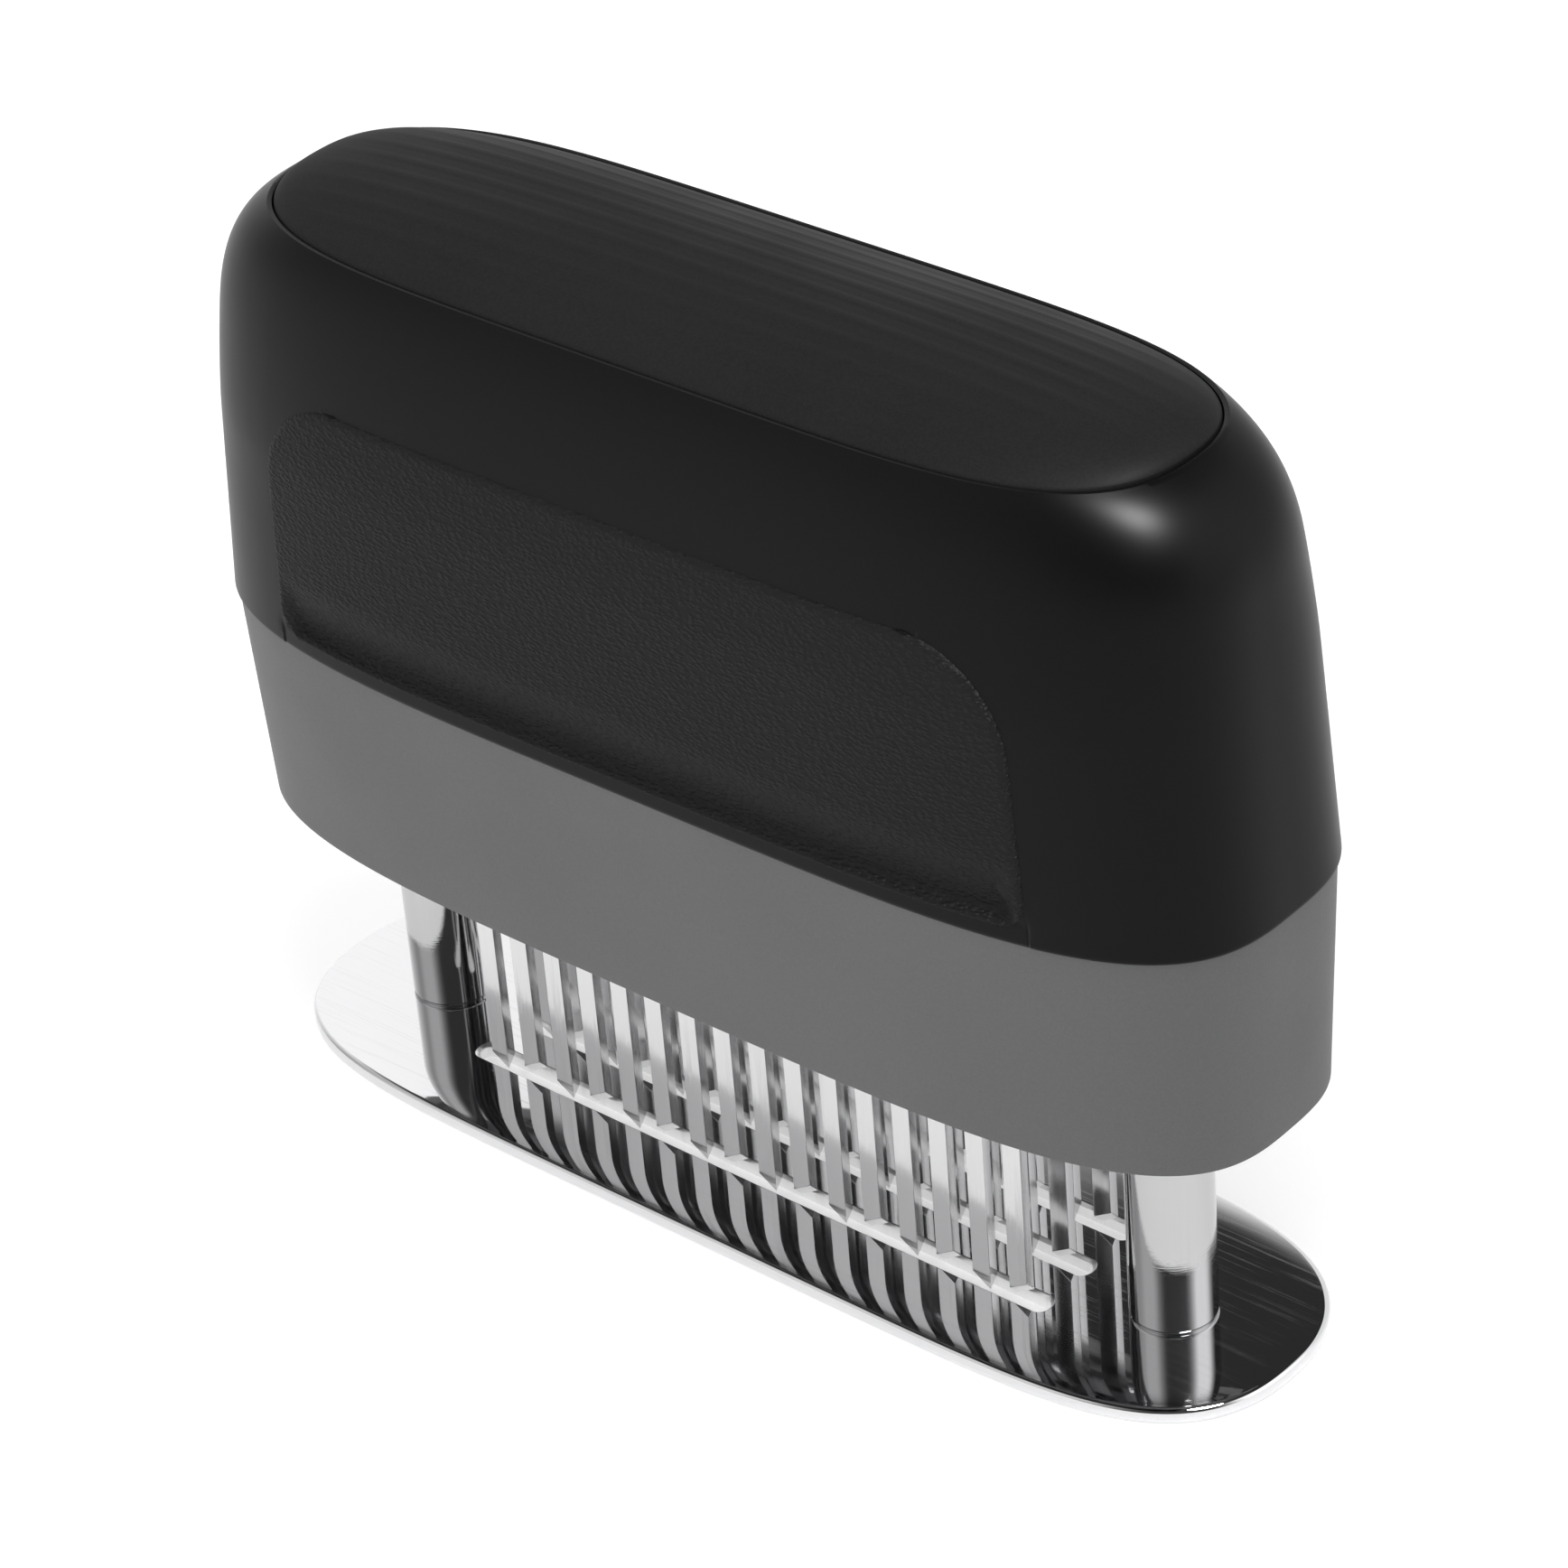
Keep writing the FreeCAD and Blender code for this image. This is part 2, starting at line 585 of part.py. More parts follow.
def cassette_cap():
    """Plate that closes the cassette over the blade heads."""
    cap = rounded_block(CASSETTE_LENGTH, CASSETTE_WIDTH, CASSETTE_CORNER, CASSETTE_TOP, CAP_TOP)
    for x, y in cap_screw_places():
        cap = cap.cut(cylinder(CAP_SCREW_DIAMETER / 2 + SCREW_HOLE_FIT, CASSETTE_TOP,
                               CAP_TOP, x, y))
        cap = cap.cut(cylinder(CAP_SCREW_HEAD_DIAMETER / 2 + SCREW_HOLE_FIT,
                               CAP_TOP - CAP_SCREW_HEAD_HEIGHT, CAP_TOP, x, y))
    return cap


def cap_screws():
    """Screws that hold the cap down on the cassette."""
    screws = []
    for x, y in cap_screw_places():
        neck = CAP_TOP - CAP_SCREW_HEAD_HEIGHT
        screw = cylinder(CAP_SCREW_HEAD_DIAMETER / 2, neck, CAP_TOP, x, y)
        tip = COVER_TOP + CAP_THICKNESS + SCREW_TIP_ROOM
        screw = screw.fuse(cylinder(CAP_SCREW_DIAMETER / 2, tip, neck, x, y))
        socket_bottom = CAP_TOP - CAP_SCREW_HEAD_HEIGHT * SOCKET_DEPTH_SHARE
        screws.append(screw.cut(hexagon(CAP_SCREW_DIAMETER * SOCKET_SHARE, socket_bottom,
                                        CAP_TOP, x, y)))
    return Part.makeCompound(screws)


def inner_frame():
    """Frame with a spring tube round each post, a bridge over the cassette and four columns."""
    frame = rounded_block(POST_SPACING, BRIDGE_WIDTH, CASSETTE_CORNER, CAP_TOP, BRIDGE_TOP)
    for x, y in column_places():
        arm = block(COLUMN_DIAMETER, COLUMN_DIAMETER / 2, CAP_TOP, BRIDGE_TOP, x,
                    math.copysign(abs(y) - COLUMN_DIAMETER / 4, y))
        frame = frame.fuse(arm)
        frame = frame.fuse(cylinder(COLUMN_DIAMETER / 2, COVER_TOP, BRIDGE_TOP, x, y))
    for side in SIDES.values():
        frame = frame.fuse(cylinder(TUBE_OUTER, COVER_TOP, TUBE_TOP, side * POST_X))
    for side in SIDES.values():
        x = side * POST_X
        frame = frame.cut(cylinder(BUSH_OUTER, COVER_TOP, BRIDGE_TOP, x))
        frame = frame.cut(cylinder(TUBE_INNER, BRIDGE_TOP, TUBE_ROOF, x))
        frame = frame.cut(cylinder(SHELL_SCREW_DIAMETER / 2,
                                   TUBE_ROOF + SHELL_SCREW_END - SCREW_TIP_ROOM, TUBE_TOP, x))
    for x, y in column_places():
        frame = frame.cut(cylinder(COVER_SCREW_DIAMETER / 2, COVER_TOP,
                                   COVER_TOP + COVER_SCREW_DEPTH, x, y))
    return frame.removeSplitter()


def guide_bush(side):
    """Flanged bush that a post slides in."""
    x = side * POST_X
    bush = cylinder(BUSH_OUTER, COVER_TOP, BRIDGE_TOP, x)
    bush = bush.fuse(cylinder(TUBE_INNER, BRIDGE_TOP, BUSH_FLANGE_TOP, x))
    return bush.cut(cylinder(POST_RADIUS + POST_FIT, COVER_TOP - OVERCUT,
                             BUSH_FLANGE_TOP + OVERCUT, x))


def tongue_body(offset):
    """Solid of the band's tongue, which starts below the seam and follows the shell's wall."""
    inset = offset - SHELL_WALL - TONGUE_FIT
    foot = shell_wire(0, inset)
    foot.translate(Vector(0, 0, -TONGUE_HEIGHT))
    wires = [foot, shell_wire(0, inset), shell_wire(TONGUE_HEIGHT, inset)]
    return Part.makeLoft(wires, True, True)


def skirt_band():
    """Grey band below the shell, with a lip under the cover and a tongue into the shell."""
    band = band_body(0, BAND_RIM_HEIGHT, SEAM_HEIGHT)
    band = band.fuse(tongue_body(0))
    hollow = band_body(-BAND_WALL, COVER_BOTTOM, SEAM_HEIGHT - TONGUE_HEIGHT)
    hollow = hollow.fuse(tongue_body(-TONGUE_WALL))
    hollow = hollow.fuse(band_body(-BAND_WALL - BAND_LIP_WIDTH, COVER_BOTTOM - BAND_LIP_HEIGHT,
                                   COVER_BOTTOM))
    hollow = hollow.fuse(band_body(-BAND_WALL, BAND_RIM_HEIGHT,
                                   COVER_BOTTOM - BAND_LIP_HEIGHT))
    return band.cut(hollow).removeSplitter()


def handle_shell():
    """Black shell of the handle with a recess for the insert and pockets for the pads."""
    shell = shell_body(0, SHELL_HEIGHT)
    hollow = shell_body(-SHELL_WALL, SHELL_ROOF - SEAM_HEIGHT)
    shell = shell.cut(hollow)
    shell = shell.cut(prism(insert_wire(INSERT_FIT, RECESS_FLOOR), INSERT_DEPTH + OVERCUT))
    for side in SIDES.values():
        x = side * POST_X
        shell = shell.fuse(cylinder(SHELL_BOSS_DIAMETER / 2, TUBE_TOP,
                                    SHELL_ROOF + OVERCUT, x))
        shell = shell.cut(cylinder(SHELL_SCREW_DIAMETER / 2 + SCREW_HOLE_FIT, TUBE_TOP,
                                   RECESS_FLOOR, x))
        shell = shell.cut(cylinder(SHELL_SCREW_HEAD_DIAMETER / 2 + SCREW_HOLE_FIT,
                                   RECESS_FLOOR - SHELL_SCREW_HEAD_HEIGHT, RECESS_FLOOR, x))
    core = shell_body(-PAD_DEPTH, SHELL_HEIGHT)
    for side in SIDES.values():
        shell = shell.cut(pad_tool(side, PAD_FIT).cut(core))
    return shell


def shell_screws():
    """Screws under the insert that hold the shell to the frame's tubes."""
    screws = []
    for side in SIDES.values():
        x = side * POST_X
        neck = RECESS_FLOOR - SHELL_SCREW_HEAD_HEIGHT
        screw = cylinder(SHELL_SCREW_HEAD_DIAMETER / 2, neck, RECESS_FLOOR, x)
        screw = screw.fuse(cylinder(SHELL_SCREW_DIAMETER / 2, TUBE_ROOF + SHELL_SCREW_END,
                                    neck, x))
        socket_bottom = RECESS_FLOOR - SHELL_SCREW_HEAD_HEIGHT * SOCKET_DEPTH_SHARE
        screws.append(screw.cut(hexagon(SHELL_SCREW_DIAMETER * SOCKET_SHARE, socket_bottom,
                                        RECESS_FLOOR, x)))
    return Part.makeCompound(screws)


def top_insert():
    """Crowned panel set into the shell's top."""
    base = prism(insert_wire(0, RECESS_FLOOR), INSERT_DEPTH)
    sections = []
    outline = insert_wire(0, SHELL_TOP)
    for share in CROWN_SECTIONS:
        shrink = 1 - share
        section = outline.copy()
        matrix = FreeCAD.Matrix()
        matrix.scale(Vector(1 - share * share * CROWN_END_SHARE, shrink, 1))
        matrix.move(Vector(0, 0, INSERT_CROWN * (1 - shrink * shrink)))
        sections.append(section.transformGeometry(matrix))
    crown = Part.makeLoft([Part.Wire(section.Edges) for section in sections], True, False)
    return base.fuse(crown).removeSplitter()


def grip_pad(side):
    """Textured rubber pad that fills a pocket in one long side of the shell."""
    outer = shell_body(PAD_PROUD, SHELL_HEIGHT)
    core = shell_body(-PAD_DEPTH, SHELL_HEIGHT)
    return pad_tool(side, 0).common(outer).cut(core)


def main():
    os.makedirs("parts", exist_ok=True)
    save("guard_plate", guard_plate())
    for name, side in SIDES.items():
        save(name + "_post", post(side))
        save(name + "_post_screw", post_screw(side))
        save(name + "_stop_washer", stop_washer(side))
        save(name + "_stop_screw", stop_screw(side))
        save(name + "_spring", spring(side))
        save(name + "_guide_bush", guide_bush(side))
    for name, y in ROWS.items():
        save(name + "_blade_row", blade_row(y))
    save("bottom_cover", bottom_cover())
    save("cover_screws", cover_screws())
    save("blade_cassette", blade_cassette())
    save("cassette_cap", cassette_cap())
    save("cap_screws", cap_screws())
    save("inner_frame", inner_frame())
    save("skirt_band", skirt_band())
    save("handle_shell", handle_shell())
    save("shell_screws", shell_screws())
    save("top_insert", top_insert())
    save("front_grip_pad", grip_pad(-1))
    save("rear_grip_pad", grip_pad(1))


main()
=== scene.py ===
"""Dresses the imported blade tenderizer: finer meshes, finishes, studio and camera.

Metres, +Z up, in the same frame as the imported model. The guard plate's underside is at z = 0.
"""
import math

import bmesh
import bpy
import numpy as np
from bpy.props import FloatProperty, FloatVectorProperty, PointerProperty
from mathutils import Matrix, Vector


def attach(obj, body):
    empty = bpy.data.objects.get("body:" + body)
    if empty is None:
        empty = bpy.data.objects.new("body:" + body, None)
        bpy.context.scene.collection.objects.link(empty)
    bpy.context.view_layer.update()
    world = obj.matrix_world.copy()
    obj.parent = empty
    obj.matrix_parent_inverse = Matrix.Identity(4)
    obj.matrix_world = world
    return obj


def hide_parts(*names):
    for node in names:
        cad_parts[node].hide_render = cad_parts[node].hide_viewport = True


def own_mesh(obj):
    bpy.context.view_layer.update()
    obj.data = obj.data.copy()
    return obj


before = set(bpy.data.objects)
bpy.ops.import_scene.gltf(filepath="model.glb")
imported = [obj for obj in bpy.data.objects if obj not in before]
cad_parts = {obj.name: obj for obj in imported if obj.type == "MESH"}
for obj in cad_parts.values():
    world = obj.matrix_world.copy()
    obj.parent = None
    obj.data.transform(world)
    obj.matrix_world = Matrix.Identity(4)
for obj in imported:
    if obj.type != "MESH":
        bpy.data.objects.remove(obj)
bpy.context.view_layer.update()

bl_info = {
    "name": "Blade tenderizer looks",
    "version": (1, 0, 0),
    "blender": (4, 5, 0),
    "location": "3D View > Sidebar > Tenderizer",
    "description": "Builds the visible pieces, finishes and studio of a blade tenderizer",
    "category": "Object",
}

MM = 0.001

# Forms of the solids, and relief that only the scene has, in metres
SHELL_HALF_LENGTH = 75.95 * MM
SHELL_HALF_WIDTH = 24.15 * MM
SHELL_HEIGHT = 53.4 * MM
SHELL_TOP_HEIGHT = 56.3 * MM
SHELL_OVERHANG = 0.4 * MM
SHELL_WALL = 2.4 * MM
SHELL_END_TAPER = 0.086
END_ROUND = (23.1 * MM, 17.5 * MM, 2.67)
SIDE_ROUND = (7.66 * MM, 29.7 * MM, 1.5)
SEAM_POWERS = (4.2, 3.0)
TOP_POWERS = (5.1, 2.5)
ROOF_THICKNESS = 3.0 * MM
SEAM_HEIGHT = 65.5 * MM
INSERT_RIM = 0.7 * MM
INSERT_DEPTH = 3.2 * MM
INSERT_CROWN = 5.4 * MM
INSERT_FIT = 0.12 * MM
CROWN_END_SHARE = 0.9
BAND_RIM_HEIGHT = 35.7 * MM
BAND_RIM_HALF = (74.7 * MM, 22.1 * MM)
BAND_WALL = 2.5 * MM
BAND_LIP_WIDTH = 1.6 * MM
BAND_LIP_HEIGHT = 1.8 * MM
BAND_LIP_RISE = 1.2 * MM
TONGUE_HEIGHT = 4.0 * MM
TONGUE_WALL = 1.4 * MM
TONGUE_FIT = 0.1 * MM
PAD_BOTTOM_HALF = 56.0 * MM
PAD_TOP_HALF = 54.0 * MM
PAD_RISE = 2.2 * MM
PAD_HEIGHT = 34.0 * MM
PAD_TOP_CORNER = 12.5 * MM
PAD_BOTTOM_CORNER = 3.5 * MM
PAD_PROUD = 0.5 * MM
PAD_DISH = 1.5 * MM
PAD_DISH_HEIGHT = 8.0 * MM
PAD_DISH_END = 3.0 * MM
PAD_DISH_ROOM = 0.6 * MM
PAD_LIP = 0.5 * MM
PAD_BURIED = 0.22 * MM
PAD_EDGE_WIDTH = 1.1 * MM
CREASE_DEPTH = 0.16 * MM
STRIP_DEPTH = 0.1 * MM
PLATE_TOP = 2.0 * MM
PLATE_SIZE = (74.6 * MM, 21.15 * MM, 6.5, 2.3)
PLATE_EDGE_RADIUS = 0.7 * MM
PLATE_ROLL_WIDTH = 5.0 * MM
PLATE_ROLL_DEPTH = 0.14 * MM
PLATE_ROLL_CHANGE = 12 * MM
PLATE_REAR_FLATTER = 0.75
SLOTS_SHARE = (0.7, 0.6)
SLOT_HALF_LENGTH = 45.07 * MM
SLOT_HALF_WIDTH = 1.35 * MM
SLOT_CHAMFER = 0.4 * MM
SCREW_HOLE = (4.1 * MM, 2.1 * MM)
POST_RADIUS = 5.3 * MM
POST_X = 57.3 * MM
POST_TOP = 59.0 * MM
POST_HOLE_RADIUS = 2.0 * MM
POST_HOLE_DEPTH = 12.0 * MM
BLADES_PER_ROW = 16
BLADE_PITCH = 5.5 * MM
BLADE_WIDTH = 2.64 * MM
BLADE_THICKNESS = 1.4 * MM
BLADE_HEAD_WIDTH = 4.2 * MM
BLADE_HEAD_HEIGHT = 3.0 * MM
BLADE_NECK = 48.12 * MM
TIP_HEIGHT = 1.2 * MM
TIP_RISE = 1.7 * MM
TIP_BEVEL = 1.6 * MM
ROW_SPACING = 8.2 * MM
ROWS = {"front": -ROW_SPACING, "middle": 0.0, "rear": ROW_SPACING}
SIDES = {"left": -1, "right": 1}
WASHER_TOP = 60.5 * MM
SPRING_RADIUS = 6.4 * MM
SPRING_WIRE = 1.2 * MM
SPRING_LENGTH = 45.7 * MM
SPRING_TURNS = 11
SPRING_CLOSED_PITCH = 1.62 * MM

# Softened edges of the moulded pieces, and where the top panel's ribs fade out
SOFT_EDGE = 0.22 * MM
SHELL_RIM_EDGE = 0.45 * MM
RIB_END_FADE = (46 * MM, 62 * MM)
RIB_SIDE_FADE = (0.08, 0.2)

# Camera at the photograph's viewing angle
CAMERA_PLACE = (0.3567, -0.3877, 0.4017)
CAMERA_AZIMUTH = math.radians(42.398)
CAMERA_ELEVATION = math.radians(33.424)
CAMERA_ROLL = math.radians(-4.763)
CAMERA_LENS = 123.44
CAMERA_SENSOR = 36.0

# How finely the meshes are drawn
RING_POINTS = 288
POST_POINTS = 128
HOLE_POINTS = 64
PAD_COLUMNS = 356
OUTLINE_POINTS = 900
RAY_HALVINGS = 45
EDGE_ANGLE = math.radians(32)
ROUNDED_ANGLE = math.radians(60)
BEVEL_ANGLE = math.radians(38)
FLAT_ANGLE = math.radians(0.4)
SAME_POINT = 1e-7
SAME_SOLID_POINT = 0.0005 * MM

# Studio
FLOOR_HALF = 4.0
FLOOR_GAP = 0.1 * MM
FLOOR_TONE = 0.68
FLOOR_GLOW = 0.5
LAMP_AIM = (0, 0, 0.06)
LAMPS = {
    "overhead": {"place": (0.3, -0.1, 1.15), "size": 0.5, "power": 4.4, "gloss": False},
    "front_left": {"place": (-0.9, -1.1, 1.0), "size": 0.9, "power": 8.0, "gloss": False},
    "softbox": {"place": (0.64, -0.21, 1.04), "size": 0.4, "power": 36.0, "gloss": True},
}

# Surround in reflections. A fade runs between two values of the direction looked in:
# of its x, y or z, or of how far it heads towards the camera
CAMERA_HEADING = (0.675, -0.738, 0)
WALL_TONE = 0.95
CEILING_TONE = 0.03
WALL_TOP_FADE = (0.588, 0.622)
HIGH_WALL_TOP_FADE = (0.68, 0.78)
HIGH_WALL_LEFT_FADE = (-0.6, -0.53)
HIGH_WALL_RIGHT_FADE = (-0.5, 0.0)
FRONT_FADE = (-0.5, 0.1)
FRONT_TONE = 0.5
REAR_FADE = (0.0, 0.3)
REAR_LEFT_FADE = (-0.62, -0.5)
REAR_LEFT_EXTRA = 0.32
NEAR_SIDE_FADE = (-0.3, 0.2)
NEAR_SIDE_GAIN = 1.7
CAMERA_GAP_FADE = (0.5, 0.94)
CAMERA_GAP_TONE = 0.08
AMBIENT = 0.62


class TenderizerLooks(bpy.types.PropertyGroup):
    """Sizes and colours of the looks that a user would change."""

    rib_pitch: FloatProperty(
        name="Rib pitch", description="Distance between the ribs on the top panel",
        default=3.1 * MM, min=1 * MM, unit="LENGTH")
    rib_height: FloatProperty(
        name="Rib height", description="Height of the ribs on the top panel",
        default=0.12 * MM, min=0, unit="LENGTH")
    grain_size: FloatProperty(
        name="Grain size", description="Width of a cell of the grip pads' grain",
        default=0.8 * MM, min=0.2 * MM, unit="LENGTH")
    grain_height: FloatProperty(
        name="Grain height", description="Height of the grip pads' grain",
        default=0.008 * MM, min=0, unit="LENGTH")
    shell_colour: FloatVectorProperty(
        name="Shell colour", description="Colour of the black handle shell",
        default=(0.0032, 0.0032, 0.0034), size=3, subtype="COLOR", min=0, max=1)
    insert_colour: FloatVectorProperty(
        name="Top panel colour", description="Colour of the ribbed top panel",
        default=(0.0118, 0.0118, 0.0122), size=3, subtype="COLOR", min=0, max=1)
    rubber_colour: FloatVectorProperty(
        name="Rubber colour", description="Colour of the grip pads",
        default=(0.0145, 0.0145, 0.0149), size=3, subtype="COLOR", min=0, max=1)
    band_colour: FloatVectorProperty(
        name="Band colour", description="Colour of the grey band",
        default=(0.105, 0.105, 0.107), size=3, subtype="COLOR", min=0, max=1)
    steel_colour: FloatVectorProperty(
        name="Steel colour", description="Colour of the polished steel",
        default=(0.74, 0.74, 0.75), size=3, subtype="COLOR", min=0, max=1)
    inner_colour: FloatVectorProperty(
        name="Inner plastic colour", description="Colour of the frame inside the handle",
        default=(0.09, 0.09, 0.095), size=3, subtype="COLOR", min=0, max=1)


# Shapes

def oval(half_length, half_width, end_power, side_power, turns):
    """Points where rays from the middle meet a squared-off oval, as an (n, 2) array."""
    across = np.abs(np.cos(turns))
    along = np.abs(np.sin(turns))
    # Each ray's reach lies between these two, which close in on it
    low = np.full(len(turns), 0.5)
    high = np.full(len(turns), 2.0)
    for _ in range(RAY_HALVINGS):
        reach = (low + high) / 2
        inside = (reach * across) ** end_power + (reach * along) ** side_power < 1
        low = np.where(inside, reach, low)
        high = np.where(inside, high, reach)
    return np.stack([low * np.cos(turns) * half_length, low * np.sin(turns) * half_width], 1)


def even_turns(extra=()):
    """Turns of the rays that outlines are sampled on."""
    turns = 2 * math.pi * (np.arange(RING_POINTS) + 0.5) / RING_POINTS
    return np.sort(np.concatenate([turns, np.asarray(extra, float)]))


def ring(size, offset, height, turns):
    """Outline (half length, half width, end power, side power) at a height."""
    half_length, half_width, end_power, side_power = size
    flat = oval(half_length + offset, half_width + offset, end_power, side_power, turns)
    return np.column_stack([flat, np.full(len(flat), height)])


def rounding(rise, form):
    """Inset of the shell's rounded top edge at a rise above the seam."""
    depth, round_height, power = form
    share = np.clip((rise - (SHELL_TOP_HEIGHT - round_height)) / round_height, 0.0, 0.9999)
    return depth * (1 - (1 - share ** power) ** (1 / power))


def shell_size(rise):
    """Outline size of the shell at a rise above the seam."""
    share = rise / SHELL_HEIGHT
    return (SHELL_HALF_LENGTH - SHELL_END_TAPER * rise - rounding(rise, END_ROUND),
            SHELL_HALF_WIDTH - rounding(rise, SIDE_ROUND),
            SEAM_POWERS[0] + share * (TOP_POWERS[0] - SEAM_POWERS[0]),
            SEAM_POWERS[1] + share * (TOP_POWERS[1] - SEAM_POWERS[1]))


def insert_size():
    """Outline size of the top panel."""
    half_length, half_width, end_power, side_power = shell_size(SHELL_HEIGHT)
    return half_length - INSERT_RIM, half_width - INSERT_RIM, end_power, side_power


def band_size(height):
    """Outline size of the grey band at a height."""
    share = (height - BAND_RIM_HEIGHT) / (SEAM_HEIGHT - BAND_RIM_HEIGHT)
    top = (SHELL_HALF_LENGTH - SHELL_OVERHANG, SHELL_HALF_WIDTH - SHELL_OVERHANG)
    half = [low + share * (high - low) for low, high in zip(BAND_RIM_HALF, top)]
    return half[0], half[1], SEAM_POWERS[0], SEAM_POWERS[1]


def piece_from(name, points, faces, material):
    """Object with a clean closed mesh whose faces point outwards."""
    mesh = bpy.data.meshes.new(name)
    mesh.from_pydata([tuple(point) for point in points], [], faces)
    work = bmesh.new()
    work.from_mesh(mesh)
    bmesh.ops.remove_doubles(work, verts=work.verts, dist=SAME_POINT)
    bmesh.ops.recalc_face_normals(work, faces=work.faces)
    work.to_mesh(mesh)
    work.free()
    mesh.materials.append(material)
    smooth(mesh)
    piece = bpy.data.objects.new(name, mesh)
    bpy.context.scene.collection.objects.link(piece)
    return piece


def smooth(mesh, angle=EDGE_ANGLE):
    """Smooth shading with the real edges kept sharp."""
    mesh.shade_smooth()
    mesh.set_sharp_from_angle(angle=angle)


def walls(count, levels, looped):
    """Faces between neighbouring rings, and from the last ring to the first if it is a loop."""
    faces = []
    for level in range(levels if looped else levels - 1):
        here = level * count
        above = (level + 1) % levels * count
        for index in range(count):
            ahead = (index + 1) % count
            faces.append((here + index, here + ahead, above + ahead, above + index))
    return faces


def skin(name, rings, material, start=None, end=None):
    """Closed piece through a stack of rings. A start and end point close it, else it is a loop."""
    count = len(rings[0])
    points = np.concatenate(rings)
    faces = walls(count, len(rings), start is None)
    if start is not None:
        points = np.concatenate([points, [start, end]])
        first = len(rings) * count
        last = (len(rings) - 1) * count
        for index in range(count):
            ahead = (index + 1) % count
            faces.append((first, ahead, index))
            faces.append((first + 1, last + index, last + ahead))
    return piece_from(name, points, faces, material)


def capped(name, rings, material):
    """Closed piece through a stack of rings with a flat face at both ends."""
    count = len(rings[0])
    faces = walls(count, len(rings), False)
    faces.append(tuple(range(count)))
    faces.append(tuple(range((len(rings) - 1) * count, len(rings) * count)))
    return piece_from(name, np.concatenate(rings), faces, material)


def round_ring(x, radius, height, count):
    """Level circle of points round an upright axis at a length."""
    turns = 2 * math.pi * np.arange(count) / count
    return np.column_stack([x + radius * np.cos(turns), radius * np.sin(turns),
                            np.full(count, height)])


def settle(holder, name, flat_faces=False):
    """Plain mesh piece from an object with live modifiers, which is then removed."""
    if flat_faces:
        weighted = holder.modifiers.new("flat_faces", "WEIGHTED_NORMAL")
        weighted.weight = 100
    graph = bpy.context.evaluated_depsgraph_get()
    mesh = bpy.data.meshes.new_from_object(holder.evaluated_get(graph), depsgraph=graph)
    mesh.name = name
    bpy.data.objects.remove(holder)
    piece = bpy.data.objects.new(name, mesh)
    bpy.context.scene.collection.objects.link(piece)
    return piece


def hand_over(piece, body, node):
    """Let a piece stand for its node and ride on its body."""
    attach(piece, body)
    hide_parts(node)


# Node trees

def nodes_tree(name, inputs):
    """Geometry tree with named inputs, and a short way to add and link nodes."""
    tree = bpy.data.node_groups.new(name, "GeometryNodeTree")
    tree.interface.new_socket("Geometry", in_out="INPUT", socket_type="NodeSocketGeometry")
    for label, kind, default in inputs:
        socket = tree.interface.new_socket(label, in_out="INPUT", socket_type="NodeSocket" + kind)
        if default is not None:
            socket.default_value = default
    tree.interface.new_socket("Geometry", in_out="OUTPUT", socket_type="NodeSocketGeometry")
    return tree, Wiring(tree)


class Wiring:
    """Adds nodes to a tree with their settings and inputs in one call."""

    def __init__(self, tree):
        self.tree = tree

    def add(self, kind, inputs=None, **settings):
        node = self.tree.nodes.new(kind)
        for label, value in settings.items():
            setattr(node, label, value)
        for label, value in (inputs or {}).items():
            socket = node.inputs[label]
            if isinstance(value, bpy.types.NodeSocket):
                self.tree.links.new(value, socket)
            else:
                socket.default_value = value
        return node

    def math(self, operation, first, second=0.0, third=0.0):
        node = self.add("ShaderNodeMath", {0: first, 1: second, 2: third}, operation=operation)
        return node.outputs[0]

    def spread(self, value, low, high, to_low, to_high):
        """Value carried smoothly from one range to another, held at its ends."""
        node = self.add("ShaderNodeMapRange", {"Value": value, "From Min": low, "From Max": high,
                                               "To Min": to_low, "To Max": to_high},
                        interpolation_type="SMOOTHSTEP")
        return node.outputs["Result"]

    def blend(self, share, first, second):
        """Colour between two colours."""
        node = self.add("ShaderNodeMix", data_type="RGBA")
        for index, value in ((0, share), (6, first), (7, second)):
            if isinstance(value, bpy.types.NodeSocket):
                self.tree.links.new(value, node.inputs[index])
            else:
                node.inputs[index].default_value = value
        return node.outputs[2]


def apply_tree(holder, tree, values):
    """Put a geometry tree on an object with its named inputs set."""
    modifier = holder.modifiers.new(tree.name, "NODES")
    modifier.node_group = tree
    for item in tree.interface.items_tree:
        if item.item_type == "SOCKET" and item.in_out == "INPUT" and item.name in values:
            modifier[item.identifier] = values[item.name]


